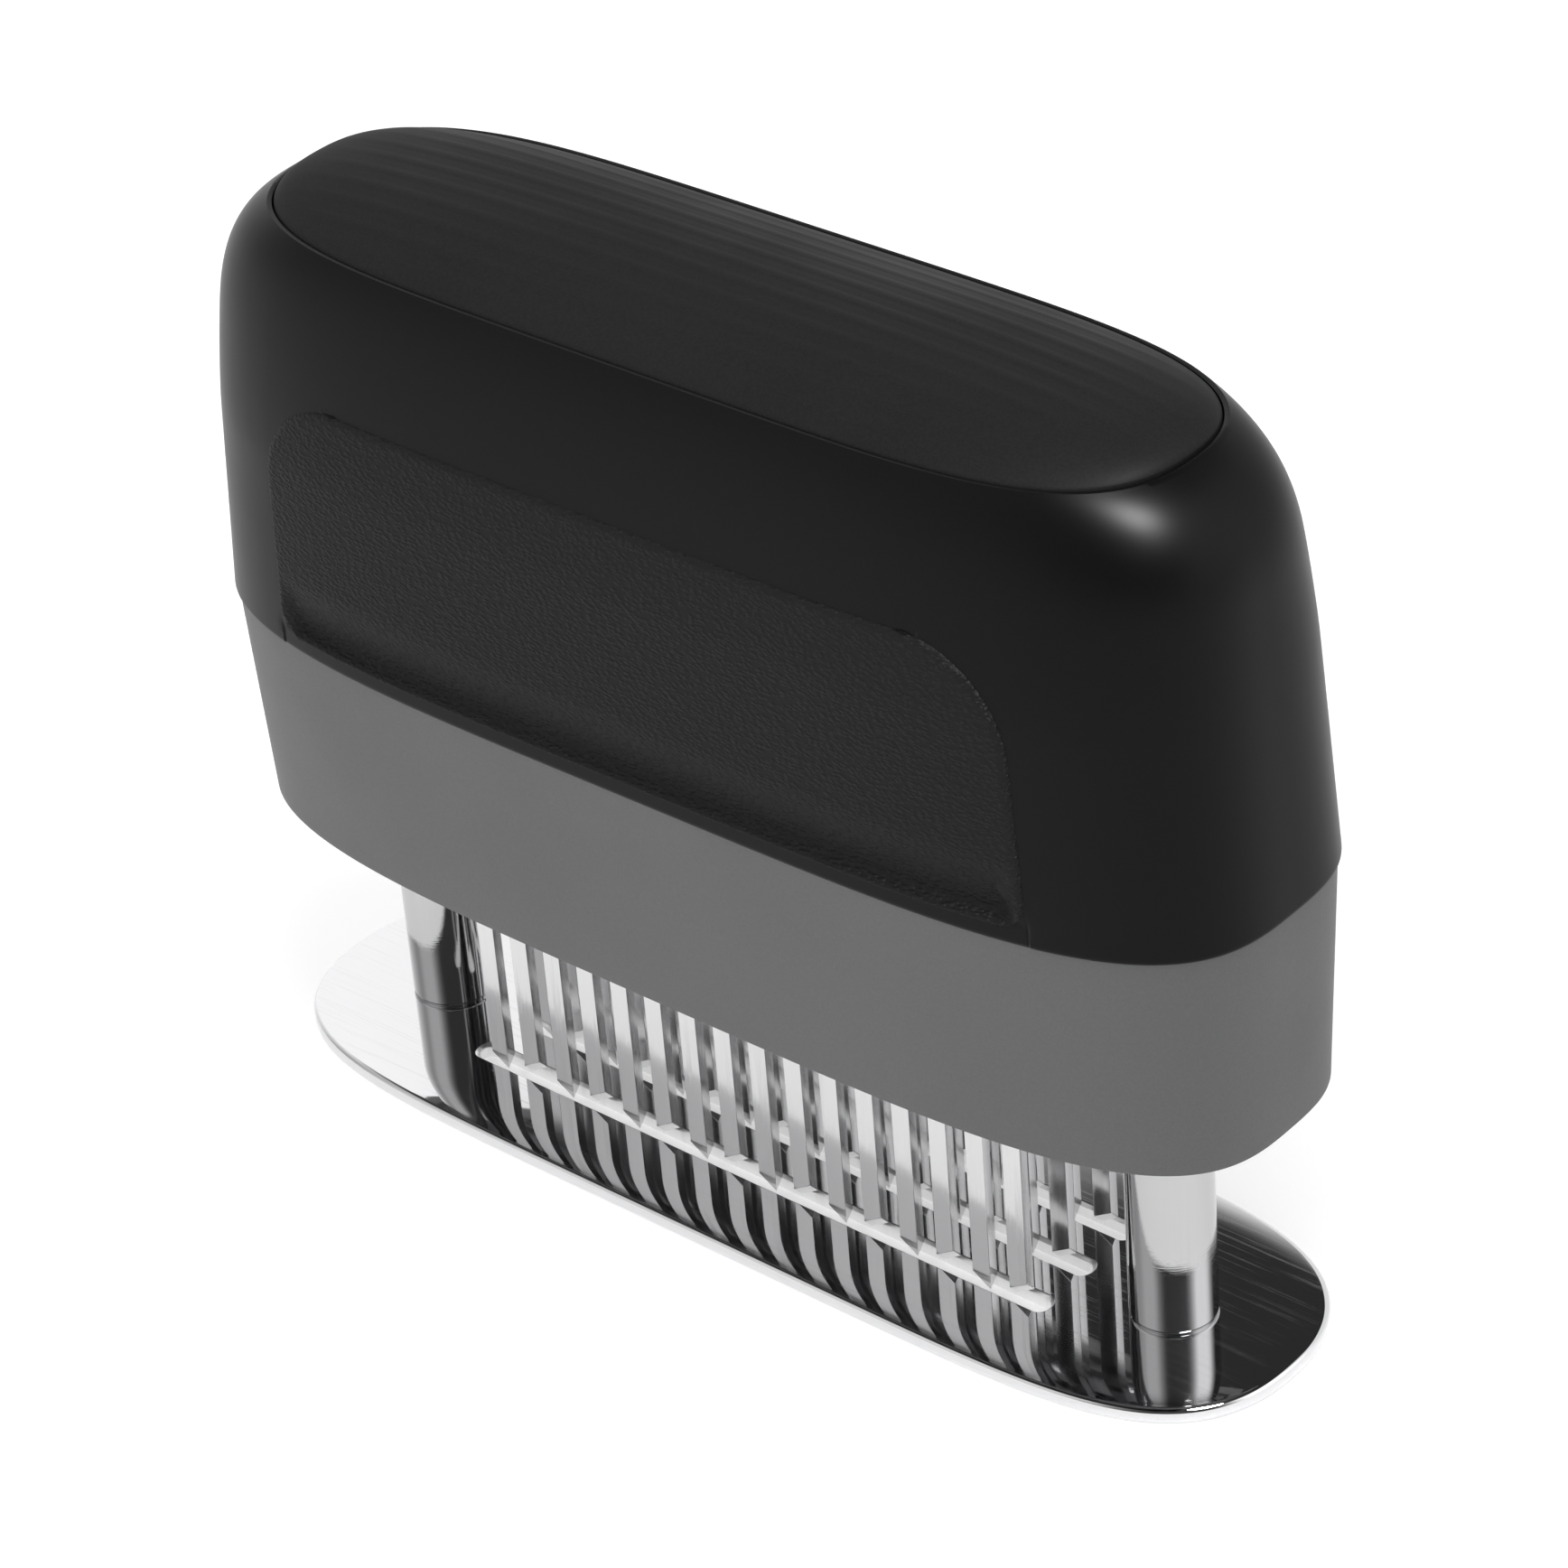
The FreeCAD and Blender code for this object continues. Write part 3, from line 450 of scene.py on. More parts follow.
def row_tree():
    """Tree that sets a row of blades, every second one turned round."""
    tree, wire = nodes_tree("blade_row_tree", [
        ("Blade", "Object", None), ("Count", "Int", BLADES_PER_ROW),
        ("Pitch", "Float", BLADE_PITCH), ("Row", "Float", 0.0), ("Steel", "Material", None)])
    given = wire.add("NodeGroupInput").outputs
    last = wire.math("SUBTRACT", given["Count"], 1.0)
    first_x = wire.math("MULTIPLY", wire.math("MULTIPLY", last, given["Pitch"]), -0.5)
    start = wire.add("ShaderNodeCombineXYZ", {"X": first_x, "Y": given["Row"]}).outputs[0]
    step = wire.add("ShaderNodeCombineXYZ", {"X": given["Pitch"]}).outputs[0]
    line = wire.add("GeometryNodeMeshLine", {"Count": given["Count"], "Start Location": start,
                                             "Offset": step}).outputs[0]
    index = wire.add("GeometryNodeInputIndex").outputs[0]
    odd = wire.math("MODULO", wire.math("ADD", index, 1.0), 2.0)
    turn = wire.add("ShaderNodeCombineXYZ", {"Z": wire.math("MULTIPLY", odd, math.pi)}).outputs[0]
    blade = wire.add("GeometryNodeObjectInfo", {"Object": given["Blade"]}).outputs["Geometry"]
    placed = wire.add("GeometryNodeInstanceOnPoints", {"Points": line, "Instance": blade,
                                                       "Rotation": turn}).outputs[0]
    finish_tree(wire, placed, given["Steel"])
    return tree


def coil_tree():
    """Tree that winds a compression spring with closed end turns."""
    points_per_turn = 40
    tree, wire = nodes_tree("coil_tree", [
        ("Radius", "Float", SPRING_RADIUS), ("Wire", "Float", SPRING_WIRE),
        ("Length", "Float", SPRING_LENGTH), ("Turns", "Float", float(SPRING_TURNS)),
        ("Closed Pitch", "Float", SPRING_CLOSED_PITCH), ("Steel", "Material", None)])
    given = wire.add("NodeGroupInput").outputs
    line = wire.add("GeometryNodeCurvePrimitiveLine", {"End": (0, 0, 1)}).outputs[0]
    fine = wire.add("GeometryNodeResampleCurve",
                    {"Curve": line, "Count": SPRING_TURNS * points_per_turn + 1})
    factor = wire.add("GeometryNodeSplineParameter").outputs["Factor"]
    turns = wire.math("MULTIPLY", factor, given["Turns"])
    angle = wire.math("MULTIPLY", turns, 2 * math.pi)
    last = wire.math("SUBTRACT", given["Turns"], 1.0)
    low = wire.math("MINIMUM", turns, 1.0)
    high = wire.math("MAXIMUM", wire.math("SUBTRACT", turns, last), 0.0)
    open_part = wire.math("SUBTRACT", wire.math("SUBTRACT", turns, low), high)
    rise = wire.math("SUBTRACT", given["Length"], given["Wire"])
    closed = wire.math("MULTIPLY", given["Closed Pitch"], 2.0)
    open_pitch = wire.math("DIVIDE", wire.math("SUBTRACT", rise, closed),
                           wire.math("SUBTRACT", given["Turns"], 2.0))
    ends = wire.math("MULTIPLY", wire.math("ADD", low, high), given["Closed Pitch"])
    height = wire.math("ADD", ends, wire.math("MULTIPLY", open_part, open_pitch))
    clear = wire.math("MULTIPLY", given["Wire"], 0.5)
    place = wire.add("ShaderNodeCombineXYZ", {
        "X": wire.math("MULTIPLY", wire.math("COSINE", angle), given["Radius"]),
        "Y": wire.math("MULTIPLY", wire.math("SINE", angle), given["Radius"]),
        "Z": wire.math("ADD", height, clear)}).outputs[0]
    wound = wire.add("GeometryNodeSetPosition", {"Geometry": fine.outputs[0], "Position": place})
    section = wire.add("GeometryNodeCurvePrimitiveCircle", {"Resolution": 12, "Radius": clear})
    tube = wire.add("GeometryNodeCurveToMesh", {"Curve": wound.outputs[0],
                                                "Profile Curve": section.outputs[0],
                                                "Fill Caps": True}).outputs[0]
    smoothed = wire.add("GeometryNodeSetShadeSmooth", {"Geometry": tube}).outputs[0]
    finish_tree(wire, smoothed, given["Steel"])
    return tree


def grain_tree():
    """Tree that raises a leather grain on a pad, fading out towards its outline."""
    tree, wire = nodes_tree("grain_tree", [
        ("Grain Size", "Float", 1.0 * MM), ("Grain Height", "Float", 0.05 * MM),
        ("Seed", "Float", 3.0), ("Rubber", "Material", None)])
    given = wire.add("NodeGroupInput").outputs
    place = wire.add("GeometryNodeInputPosition").outputs[0]
    squeeze = wire.add("ShaderNodeVectorMath", {0: place, 1: (0.62, 1.0, 1.0)},
                       operation="MULTIPLY").outputs[0]
    size = wire.math("DIVIDE", 1.0, given["Grain Size"])
    bend = wire.add("ShaderNodeTexNoise", {"Vector": squeeze, "W": given["Seed"],
                                           "Scale": wire.math("MULTIPLY", size, 0.6),
                                           "Detail": 1.0}, noise_dimensions="4D")
    push = wire.add("ShaderNodeVectorMath", {0: bend.outputs["Color"], "Scale": 0.9 * MM},
                    operation="SCALE").outputs[0]
    warped = wire.add("ShaderNodeVectorMath", {0: squeeze, 1: push}).outputs[0]
    cells = wire.add("ShaderNodeTexVoronoi", {"Vector": warped, "Scale": size,
                                              "Smoothness": 0.55}, feature="SMOOTH_F1")
    dome = wire.spread(cells.outputs["Distance"], 0.15, 0.75, 1.0, 0.0)
    room = wire.add("GeometryNodeInputNamedAttribute", {"Name": "edge_room"},
                    data_type="FLOAT").outputs["Attribute"]
    mask = wire.spread(room, 0.4 * MM, 1.3 * MM, 0.0, 1.0)
    rise = wire.math("MULTIPLY", wire.math("MULTIPLY", dome, mask), given["Grain Height"])
    normal = wire.add("GeometryNodeInputNormal").outputs[0]
    lift = wire.add("ShaderNodeVectorMath", {0: normal, "Scale": rise},
                    operation="SCALE").outputs[0]
    moved = wire.add("GeometryNodeSetPosition", {"Geometry": given["Geometry"], "Offset": lift})
    finish_tree(wire, moved.outputs[0], given["Rubber"])
    return tree


def finish_tree(wire, geometry, material):
    """End a tree in realized instances with their material."""
    real = wire.add("GeometryNodeRealizeInstances", {"Geometry": geometry}).outputs[0]
    painted = wire.add("GeometryNodeSetMaterial", {"Geometry": real, "Material": material})
    wire.add("NodeGroupOutput", {"Geometry": painted.outputs[0]})


# Finishes

def shader_group(name, inputs, outputs):
    """Shader group with named sockets."""
    tree = bpy.data.node_groups.new(name, "ShaderNodeTree")
    for label, kind, default in inputs:
        socket = tree.interface.new_socket(label, in_out="INPUT", socket_type="NodeSocket" + kind)
        socket.default_value = default
    for label, kind in outputs:
        tree.interface.new_socket(label, in_out="OUTPUT", socket_type="NodeSocket" + kind)
    wire = Wiring(tree)
    return tree, wire, wire.add("NodeGroupInput").outputs


def streak_group():
    """Fine drawn or brushed lines: a mask of their tone and a height."""
    tree, wire, given = shader_group("drawn_streaks", [
        ("Stretch", "Vector", (1.0, 1.0, 1.0)), ("Scale", "Float", 900.0),
        ("Scratch", "Float", 0.5)], [("Tone", "Float"), ("Height", "Float")])
    place = wire.add("ShaderNodeTexCoord").outputs["Object"]
    drawn = wire.add("ShaderNodeVectorMath", {0: place, 1: given["Stretch"]},
                     operation="MULTIPLY").outputs[0]
    fine = wire.add("ShaderNodeTexNoise", {"Vector": drawn, "Scale": given["Scale"],
                                           "Detail": 4.0, "Roughness": 0.6}).outputs["Fac"]
    coarse_scale = wire.math("MULTIPLY", given["Scale"], 0.23)
    coarse = wire.add("ShaderNodeTexNoise", {"Vector": drawn, "Scale": coarse_scale,
                                             "Detail": 2.0}).outputs["Fac"]
    scratch = wire.spread(coarse, 0.56, 0.62, 0.0, 1.0)
    tone = wire.math("MULTIPLY_ADD", wire.math("MULTIPLY", scratch, given["Scratch"]), fine,
                     wire.math("MULTIPLY", fine, 0.5))
    wire.add("NodeGroupOutput", {"Tone": tone, "Height": fine})
    return tree


def skin_group():
    """Spark-eroded moulded plastic: two close tones, a fine height and handling marks."""
    tree, wire, given = shader_group("moulded_skin", [
        ("Colour", "Color", (0.1, 0.1, 0.1, 1)), ("Light Colour", "Color", (0.12, 0.12, 0.12, 1)),
        ("Grain Scale", "Float", 4000.0)],
        [("Colour", "Color"), ("Height", "Float"), ("Wear", "Float")])
    place = wire.add("ShaderNodeTexCoord").outputs["Object"]
    grain = wire.add("ShaderNodeTexNoise", {"Vector": place, "Scale": given["Grain Scale"],
                                            "Detail": 2.0}).outputs["Fac"]
    cloud = wire.add("ShaderNodeTexNoise", {"Vector": place, "Scale": 38.0,
                                            "Detail": 3.0}).outputs["Fac"]
    share = wire.math("MULTIPLY_ADD", wire.math("SUBTRACT", cloud, 0.5), 0.7,
                      wire.spread(grain, 0.3, 0.7, 0.0, 1.0))
    tone = wire.blend(wire.math("MINIMUM", wire.math("MAXIMUM", share, 0.0), 1.0),
                      given["Colour"], given["Light Colour"])
    wire.add("NodeGroupOutput", {"Colour": tone, "Height": grain, "Wear": cloud})
    return tree


def leather_group():
    """Leather-like rubber grain: the valleys between the cells darker, as painted shade, and a
    fine height.
    """
    tree, wire, given = shader_group("leather_grain", [
        ("Colour", "Color", (0.02, 0.02, 0.02, 1)), ("Valley Shade", "Color", (0.01, 0.01, 0.01, 1)),
        ("Scale", "Float", 2300.0)], [("Colour", "Color"), ("Height", "Float")])
    place = wire.add("ShaderNodeTexCoord").outputs["Object"]
    squeeze = wire.add("ShaderNodeVectorMath", {0: place, 1: (0.55, 1.0, 1.0)},
                       operation="MULTIPLY").outputs[0]
    bend = wire.add("ShaderNodeTexNoise", {"Vector": squeeze, "Scale": 1400.0,
                                           "Detail": 2.0}).outputs["Color"]
    push = wire.add("ShaderNodeVectorMath", {0: bend, "Scale": 0.35 * MM},
                    operation="SCALE").outputs[0]
    warped = wire.add("ShaderNodeVectorMath", {0: squeeze, 1: push}).outputs[0]
    cells = wire.add("ShaderNodeTexVoronoi", {"Vector": warped, "Scale": given["Scale"],
                                              "Smoothness": 0.4},
                     feature="SMOOTH_F1").outputs["Distance"]
    dome = wire.spread(cells, 0.1, 0.7, 1.0, 0.0)
    fine = wire.add("ShaderNodeTexNoise", {"Vector": place, "Scale": 5200.0}).outputs["Fac"]
    height = wire.math("MULTIPLY_ADD", fine, 0.25, dome)
    # The valleys take the darker colour: painted shade in the grain's hollows
    wire.add("NodeGroupOutput", {"Colour": wire.blend(dome, given["Valley Shade"], given["Colour"]),
                                 "Height": height})
    return tree


def finish(name, **constants):
    """Material with a Principled shader, its plain sockets set on it, and a wiring helper."""
    material = bpy.data.materials.new(name)
    material.use_nodes = True
    wire = Wiring(material.node_tree)
    shader = material.node_tree.nodes["Principled BSDF"]
    for label, value in constants.items():
        shader.inputs[label.replace("_", " ")].default_value = value
    return material, wire, shader


def group_node(wire, tree, inputs):
    """Place a shared group in a material."""
    node = wire.add("ShaderNodeGroup", node_tree=tree)
    for label, value in inputs.items():
        node.inputs[label].default_value = value
    return node.outputs


def relief(wire, shader, height, depth):
    """Feed a height to the shader's normal."""
    bump = wire.add("ShaderNodeBump", {"Height": height, "Distance": depth, "Strength": 1.0})
    wire.tree.links.new(bump.outputs[0], shader.inputs["Normal"])


def rgba(colour, factor=1.0):
    """Colour property as four numbers."""
    return (colour[0] * factor, colour[1] * factor, colour[2] * factor, 1.0)


def steel_finish(name, streaks, colour, roughness, stretch, scale, depth, turned):
    """Drawn or polished steel, or turned steel with fine rings round its axis."""
    material, wire, shader = finish(name, Metallic=1.0)
    lines = group_node(wire, streaks, {"Stretch": stretch, "Scale": scale})
    wire.tree.links.new(wire.spread(lines["Tone"], 0.1, 0.9, roughness[0], roughness[1]),
                        shader.inputs["Roughness"])
    wire.tree.links.new(wire.blend(lines["Tone"], rgba(colour), rgba(colour, 0.9)),
                        shader.inputs["Base Color"])
    if turned:
        lines = group_node(wire, streaks, {"Stretch": (0.05, 0.05, 1.0), "Scale": turned})
    relief(wire, shader, lines["Height"], depth)
    return material


def plastic_finish(name, skins, colour, roughness, depth, specular, scale, contrast):
    """Moulded plastic with a fine eroded skin."""
    material, wire, shader = finish(name, Specular_IOR_Level=specular)
    face = group_node(wire, skins, {"Colour": rgba(colour),
                                    "Light Colour": rgba(colour, contrast),
                                    "Grain Scale": scale})
    wire.tree.links.new(face["Colour"], shader.inputs["Base Color"])
    wire.tree.links.new(wire.spread(face["Wear"], 0.3, 0.7, roughness[0], roughness[1]),
                        shader.inputs["Roughness"])
    relief(wire, shader, face["Height"], depth)
    return material


def make_finishes():
    """All finishes of the tenderizer, by name."""
    looks = bpy.context.scene.tenderizer_looks
    streaks = streak_group()
    skins = skin_group()
    # Colour, roughness, stretch of the drawn lines, their scale and depth, scale of the rings
    steels = {
        "polished_steel": (looks.steel_colour, (0.02, 0.13), (0.012, 1.0, 1.0), 14000.0,
                           0.00003 * MM, 0.0),
        # Slot walls: rougher sheared steel, and a colour lighter than the plate's that is painted
        # light in the slots
        "sheared_steel_painted_light": ((0.96, 0.96, 0.96), (0.3, 0.5), (1.0, 1.0, 0.1), 2600.0,
                          0.006 * MM, 0.0),
        "post_steel": ((0.53, 0.53, 0.535), (0.04, 0.1), (1.0, 1.0, 0.03), 1800.0,
                       0.006 * MM, 5200.0),
        "blade_steel": ((0.7, 0.7, 0.705), (0.12, 0.28), (1.0, 1.0, 0.06), 2600.0,
                        0.004 * MM, 0.0),
        "screw_steel": (looks.steel_colour, (0.2, 0.36), (1.0, 1.0, 1.0), 1500.0,
                        0.003 * MM, 0.0),
        "spring_steel": ((0.62, 0.62, 0.63), (0.22, 0.4), (1.0, 1.0, 0.4), 2200.0,
                         0.003 * MM, 0.0),
    }
    # Colour, roughness, depth of the skin, specular level, scale of the skin, contrast
    plastics = {
        "grey_plastic": (looks.band_colour, (0.5, 0.62), 0.012 * MM, 0.3, 3600.0, 1.1),
        "inner_plastic": (looks.inner_colour, (0.42, 0.55), 0.008 * MM, 0.5, 4000.0, 1.15),
        "bush_plastic": ((0.55, 0.54, 0.5), (0.3, 0.42), 0.004 * MM, 0.5, 4000.0, 1.15),
        "black_shell": (looks.shell_colour, (0.33, 0.38), 0.002 * MM, 0.105, 5200.0, 1.3),
        "black_insert": (looks.insert_colour, (0.55, 0.66), 0.01 * MM, 0.08, 3000.0, 1.3),
    }
    made = {name: steel_finish(name, streaks, *values) for name, values in steels.items()}
    for name, values in plastics.items():
        made[name] = plastic_finish(name, skins, *values)
    material, wire, shader = finish("grip_rubber", Specular_IOR_Level=0.09, Roughness=0.55)
    # The grain's valleys are 0.8 of the rubber colour, as painted shade
    grain = group_node(wire, leather_group(), {"Colour": rgba(looks.rubber_colour),
                                               "Valley Shade": rgba(looks.rubber_colour, 0.8)})
    wire.tree.links.new(grain["Colour"], shader.inputs["Base Color"])
    relief(wire, shader, grain["Height"], 0.13 * MM)
    made["grip_rubber"] = material
    return made


FINISHES = {}


def paint(name):
    """Finish by name, all made on first use."""
    if not FINISHES:
        FINISHES.update(make_finishes())
    return FINISHES[name]


# Pieces

def refined(node, body, finish_name, width):
    """Copy of a node's solid with its hard edges softly broken, standing for the node."""
    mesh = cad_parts[node].data.copy()
    mesh.name = node + "_finished"
    work = bmesh.new()
    work.from_mesh(mesh)
    bmesh.ops.remove_doubles(work, verts=work.verts, dist=SAME_SOLID_POINT)
    bmesh.ops.dissolve_limit(work, angle_limit=FLAT_ANGLE, verts=work.verts,
                             edges=work.edges)
    work.to_mesh(mesh)
    work.free()
    mesh.materials.clear()
    mesh.materials.append(paint(finish_name))
    mesh.shade_smooth()
    holder = bpy.data.objects.new(node + "_holder", mesh)
    bpy.context.scene.collection.objects.link(holder)
    broken_edges(holder, width)
    hand_over(settle(holder, node + "_finished", True), body, node)


def broken_edges(holder, width):
    """Break the hard edges of an object by a small width."""
    edge = holder.modifiers.new("edge", "BEVEL")
    edge.width = width
    edge.segments = 2
    edge.limit_method = "ANGLE"
    edge.angle_limit = BEVEL_ANGLE


class TENDERIZER_OT_plate(bpy.types.Operator):
    """Build the polished guard plate"""
    bl_idname = "tenderizer.plate"
    bl_label = "Guard plate"

    def execute(self, context):
        turns = even_turns()
        top = [(-PLATE_EDGE_RADIUS * (1 - math.cos(turn)),
                PLATE_TOP - PLATE_ROLL_DEPTH - PLATE_EDGE_RADIUS * (1 - math.sin(turn)))
               for turn in np.radians((0, 18, 36, 54, 72, 86))]
        roll = [(-PLATE_EDGE_RADIUS - share * PLATE_ROLL_WIDTH,
                 PLATE_TOP - PLATE_ROLL_DEPTH * (1 - share) ** 3)
                for share in np.linspace(0.0, 1.0, 14)]
        edge = 0.12 * MM
        profile = [(-edge, 0.0), (0.0, edge), (0.0, PLATE_TOP / 2)] + top + roll
        rings = [self.rolled(ring(PLATE_SIZE, offset, height, turns))
                 for offset, height in profile]
        plate = capped("plate", rings, paint("polished_steel"))
        cutter = self.cutter(PLATE_ROLL_WIDTH + PLATE_EDGE_RADIUS)
        cut = plate.modifiers.new("slots", "BOOLEAN")
        cut.object = cutter
        cut.solver = "EXACT"
        plate = settle(plate, "plate_cut")
        bpy.data.objects.remove(cutter)
        # The slot walls take the sheared steel, whose lighter colour is painted light in the slots
        plate.data.materials.append(paint("sheared_steel_painted_light"))
        for face in plate.data.polygons:
            inside = (abs(face.center.x) < PLATE_SIZE[0] * SLOTS_SHARE[0]
                      and abs(face.center.y) < PLATE_SIZE[1] * SLOTS_SHARE[1])
            steep = abs(face.normal.z) < 0.8
            face.material_index = int(inside and steep)
        plate.data.shade_smooth()
        broken_edges(plate, 0.09 * MM)
        hand_over(settle(plate, "plate_polished", True), "guard",
                  "guard_plate")
        return {"FINISHED"}

    @staticmethod
    def rolled(outline):
        """Keep the rolled edge along the front only, with a flatter one at the rear."""
        rear = np.clip(outline[:, 1] / PLATE_ROLL_CHANGE + 0.5, 0, 1)
        upper = outline[:, 2] > PLATE_TOP * 0.6
        drop = np.minimum(PLATE_TOP - outline[:, 2], PLATE_ROLL_DEPTH)
        outline[:, 2] += PLATE_REAR_FLATTER * rear * upper * drop
        return outline

    @staticmethod
    def cutter(room):
        """Tool for the three slots and the two countersunk screw holes."""
        turns = np.linspace(-math.pi / 2, math.pi / 2, 17)
        straight = SLOT_HALF_LENGTH - SLOT_HALF_WIDTH
        right = np.column_stack([straight + SLOT_HALF_WIDTH * np.cos(turns),
                                 SLOT_HALF_WIDTH * np.sin(turns)])
        outline = np.concatenate([right, -right])
        tools = []
        for y in ROWS.values():
            levels = [np.column_stack([outline[:, 0] * (1 + spread / SLOT_HALF_LENGTH),
                                       outline[:, 1] * (1 + spread / SLOT_HALF_WIDTH) + y,
                                       np.full(len(outline), height)])
                      for height, spread in ((-room, 0.0), (PLATE_TOP - SLOT_CHAMFER, 0.0),
                                             (PLATE_TOP, SLOT_CHAMFER),
                                             (PLATE_TOP + room, SLOT_CHAMFER))]
            tools.append(capped("slot_tool", levels, paint("polished_steel")))
        head, shank = SCREW_HOLE
        for side in SIDES.values():
            levels = [round_ring(side * POST_X, radius, height, HOLE_POINTS)
                      for radius, height in ((head, -room), (head, 0.0), (shank, PLATE_TOP),
                                             (shank, PLATE_TOP + room))]
            tools.append(capped("hole_tool", levels, paint("polished_steel")))
        work = bmesh.new()
        for tool in tools:
            work.from_mesh(tool.data)
            bpy.data.objects.remove(tool)
        mesh = bpy.data.meshes.new("plate_tool")
        work.to_mesh(mesh)
        work.free()
        cutter = bpy.data.objects.new("plate_tool", mesh)
        bpy.context.scene.collection.objects.link(cutter)
        return cutter


class TENDERIZER_OT_posts(bpy.types.Operator):
    """Build the two turned posts"""
    bl_idname = "tenderizer.posts"
    bl_label = "Posts"

    def execute(self, context):
        groove = 0.2 * MM
        edge = 0.3 * MM
        centre = 0.0002 * MM
        for name, side in SIDES.items():
            profile = [
                (POST_HOLE_RADIUS, PLATE_TOP), (POST_RADIUS - groove - edge, PLATE_TOP),
                (POST_RADIUS - groove, PLATE_TOP + 0.04 * MM),
                (POST_RADIUS - groove, PLATE_TOP + groove),
                (POST_RADIUS - groove / 3, PLATE_TOP + groove * 1.6),
                (POST_RADIUS, PLATE_TOP + groove * 2.6), (POST_RADIUS, PLATE_TOP + groove * 3),
                (POST_RADIUS, PLATE_TOP + 12 * MM),
                (POST_RADIUS, POST_TOP - edge * 2), (POST_RADIUS, POST_TOP - edge),
                (POST_RADIUS - edge * 0.3, POST_TOP - edge * 0.3), (POST_RADIUS - edge, POST_TOP),
                (POST_HOLE_RADIUS, POST_TOP), (POST_HOLE_RADIUS, POST_TOP - POST_HOLE_DEPTH),
                (centre, POST_TOP - POST_HOLE_DEPTH), (centre, PLATE_TOP + POST_HOLE_DEPTH),
                (POST_HOLE_RADIUS, PLATE_TOP + POST_HOLE_DEPTH)]
            rings = [round_ring(side * POST_X, radius, height, POST_POINTS)
                     for radius, height in profile]
            piece = skin(name + "_post_turned", rings, paint("post_steel"))
            hand_over(piece, "guard", name + "_post")
        return {"FINISHED"}


class TENDERIZER_OT_fasteners(bpy.types.Operator):
    """Build the screws and stop washers"""
    bl_idname = "tenderizer.fasteners"
    bl_label = "Screws and washers"

    def execute(self, context):
        for side in SIDES:
            for node in ("_post_screw", "_stop_screw", "_stop_washer"):
                refined(side + node, "guard", "screw_steel", 0.1 * MM)
        for node in ("cover_screws", "cap_screws", "shell_screws"):
            refined(node, "handle", "screw_steel", 0.1 * MM)
        return {"FINISHED"}


class TENDERIZER_OT_springs(bpy.types.Operator):
    """Wind the two springs, which keep one length here, though the real ones shorten as the handle
    goes down
    """
    bl_idname = "tenderizer.springs"
    bl_label = "Springs"

    def execute(self, context):
        tree = coil_tree()
        for name, side in SIDES.items():
            holder = bpy.data.objects.new("coil", bpy.data.meshes.new("coil"))
            context.scene.collection.objects.link(holder)
            apply_tree(holder, tree, {"Steel": paint("spring_steel")})
            piece = settle(holder, name + "_spring_wound")
            piece.data.transform(Matrix.Translation((side * POST_X, 0, WASHER_TOP)))
            hand_over(piece, "guard", name + "_spring")
            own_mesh(piece)
        return {"FINISHED"}


def blade_mesh():
    """One blade with a T-shaped head and a slanted tip, its edges softly broken."""
    half = BLADE_WIDTH / 2
    back = BLADE_THICKNESS / 2
    head = BLADE_HEAD_WIDTH / 2
    top = BLADE_NECK + BLADE_HEAD_HEIGHT

    def side(y, lift):
        return [(-half, y, TIP_HEIGHT + lift), (half, y, TIP_HEIGHT + TIP_RISE + lift),
                (half, y, BLADE_NECK), (head, y, BLADE_NECK), (head, y, top),
                (-head, y, top), (-head, y, BLADE_NECK), (-half, y, BLADE_NECK)]

    points = side(back, 0.0) + side(-back, TIP_BEVEL)
    count = len(points) // 2
    faces = [tuple(range(count)), tuple(reversed(range(count, 2 * count)))]
    for index in range(count):
        ahead = (index + 1) % count
        faces.append((index, index + count, ahead + count, ahead))
    piece = piece_from("blade", points, faces, paint("blade_steel"))
    smooth(piece.data, math.pi)
    broken_edges(piece, 0.06 * MM)
    return settle(piece, "blade_cut")


class TENDERIZER_OT_blades(bpy.types.Operator):
    """Set the three rows of blades"""
    bl_idname = "tenderizer.blades"
    bl_label = "Blade rows"

    def execute(self, context):
        blade = blade_mesh()
        tree = row_tree()
        for name, y in ROWS.items():
            holder = bpy.data.objects.new("row", bpy.data.meshes.new("row"))
            context.scene.collection.objects.link(holder)
            apply_tree(holder, tree, {"Blade": blade, "Row": y, "Steel": paint("blade_steel")})
            piece = settle(holder, name + "_blades_ground", True)
            hand_over(piece, "handle", name + "_blade_row")
        bpy.data.objects.remove(blade)
        return {"FINISHED"}


class TENDERIZER_OT_inside(bpy.types.Operator):
    """Finish the cassette, frame, bushes and bottom cover"""
    bl_idname = "tenderizer.inside"
    bl_label = "Inner pieces"

    def execute(self, context):
        for node in ("bottom_cover", "blade_cassette", "cassette_cap", "inner_frame"):
            refined(node, "handle", "inner_plastic", 0.15 * MM)
        for side in SIDES:
            refined(side + "_guide_bush", "handle", "bush_plastic", 0.12 * MM)
        return {"FINISHED"}


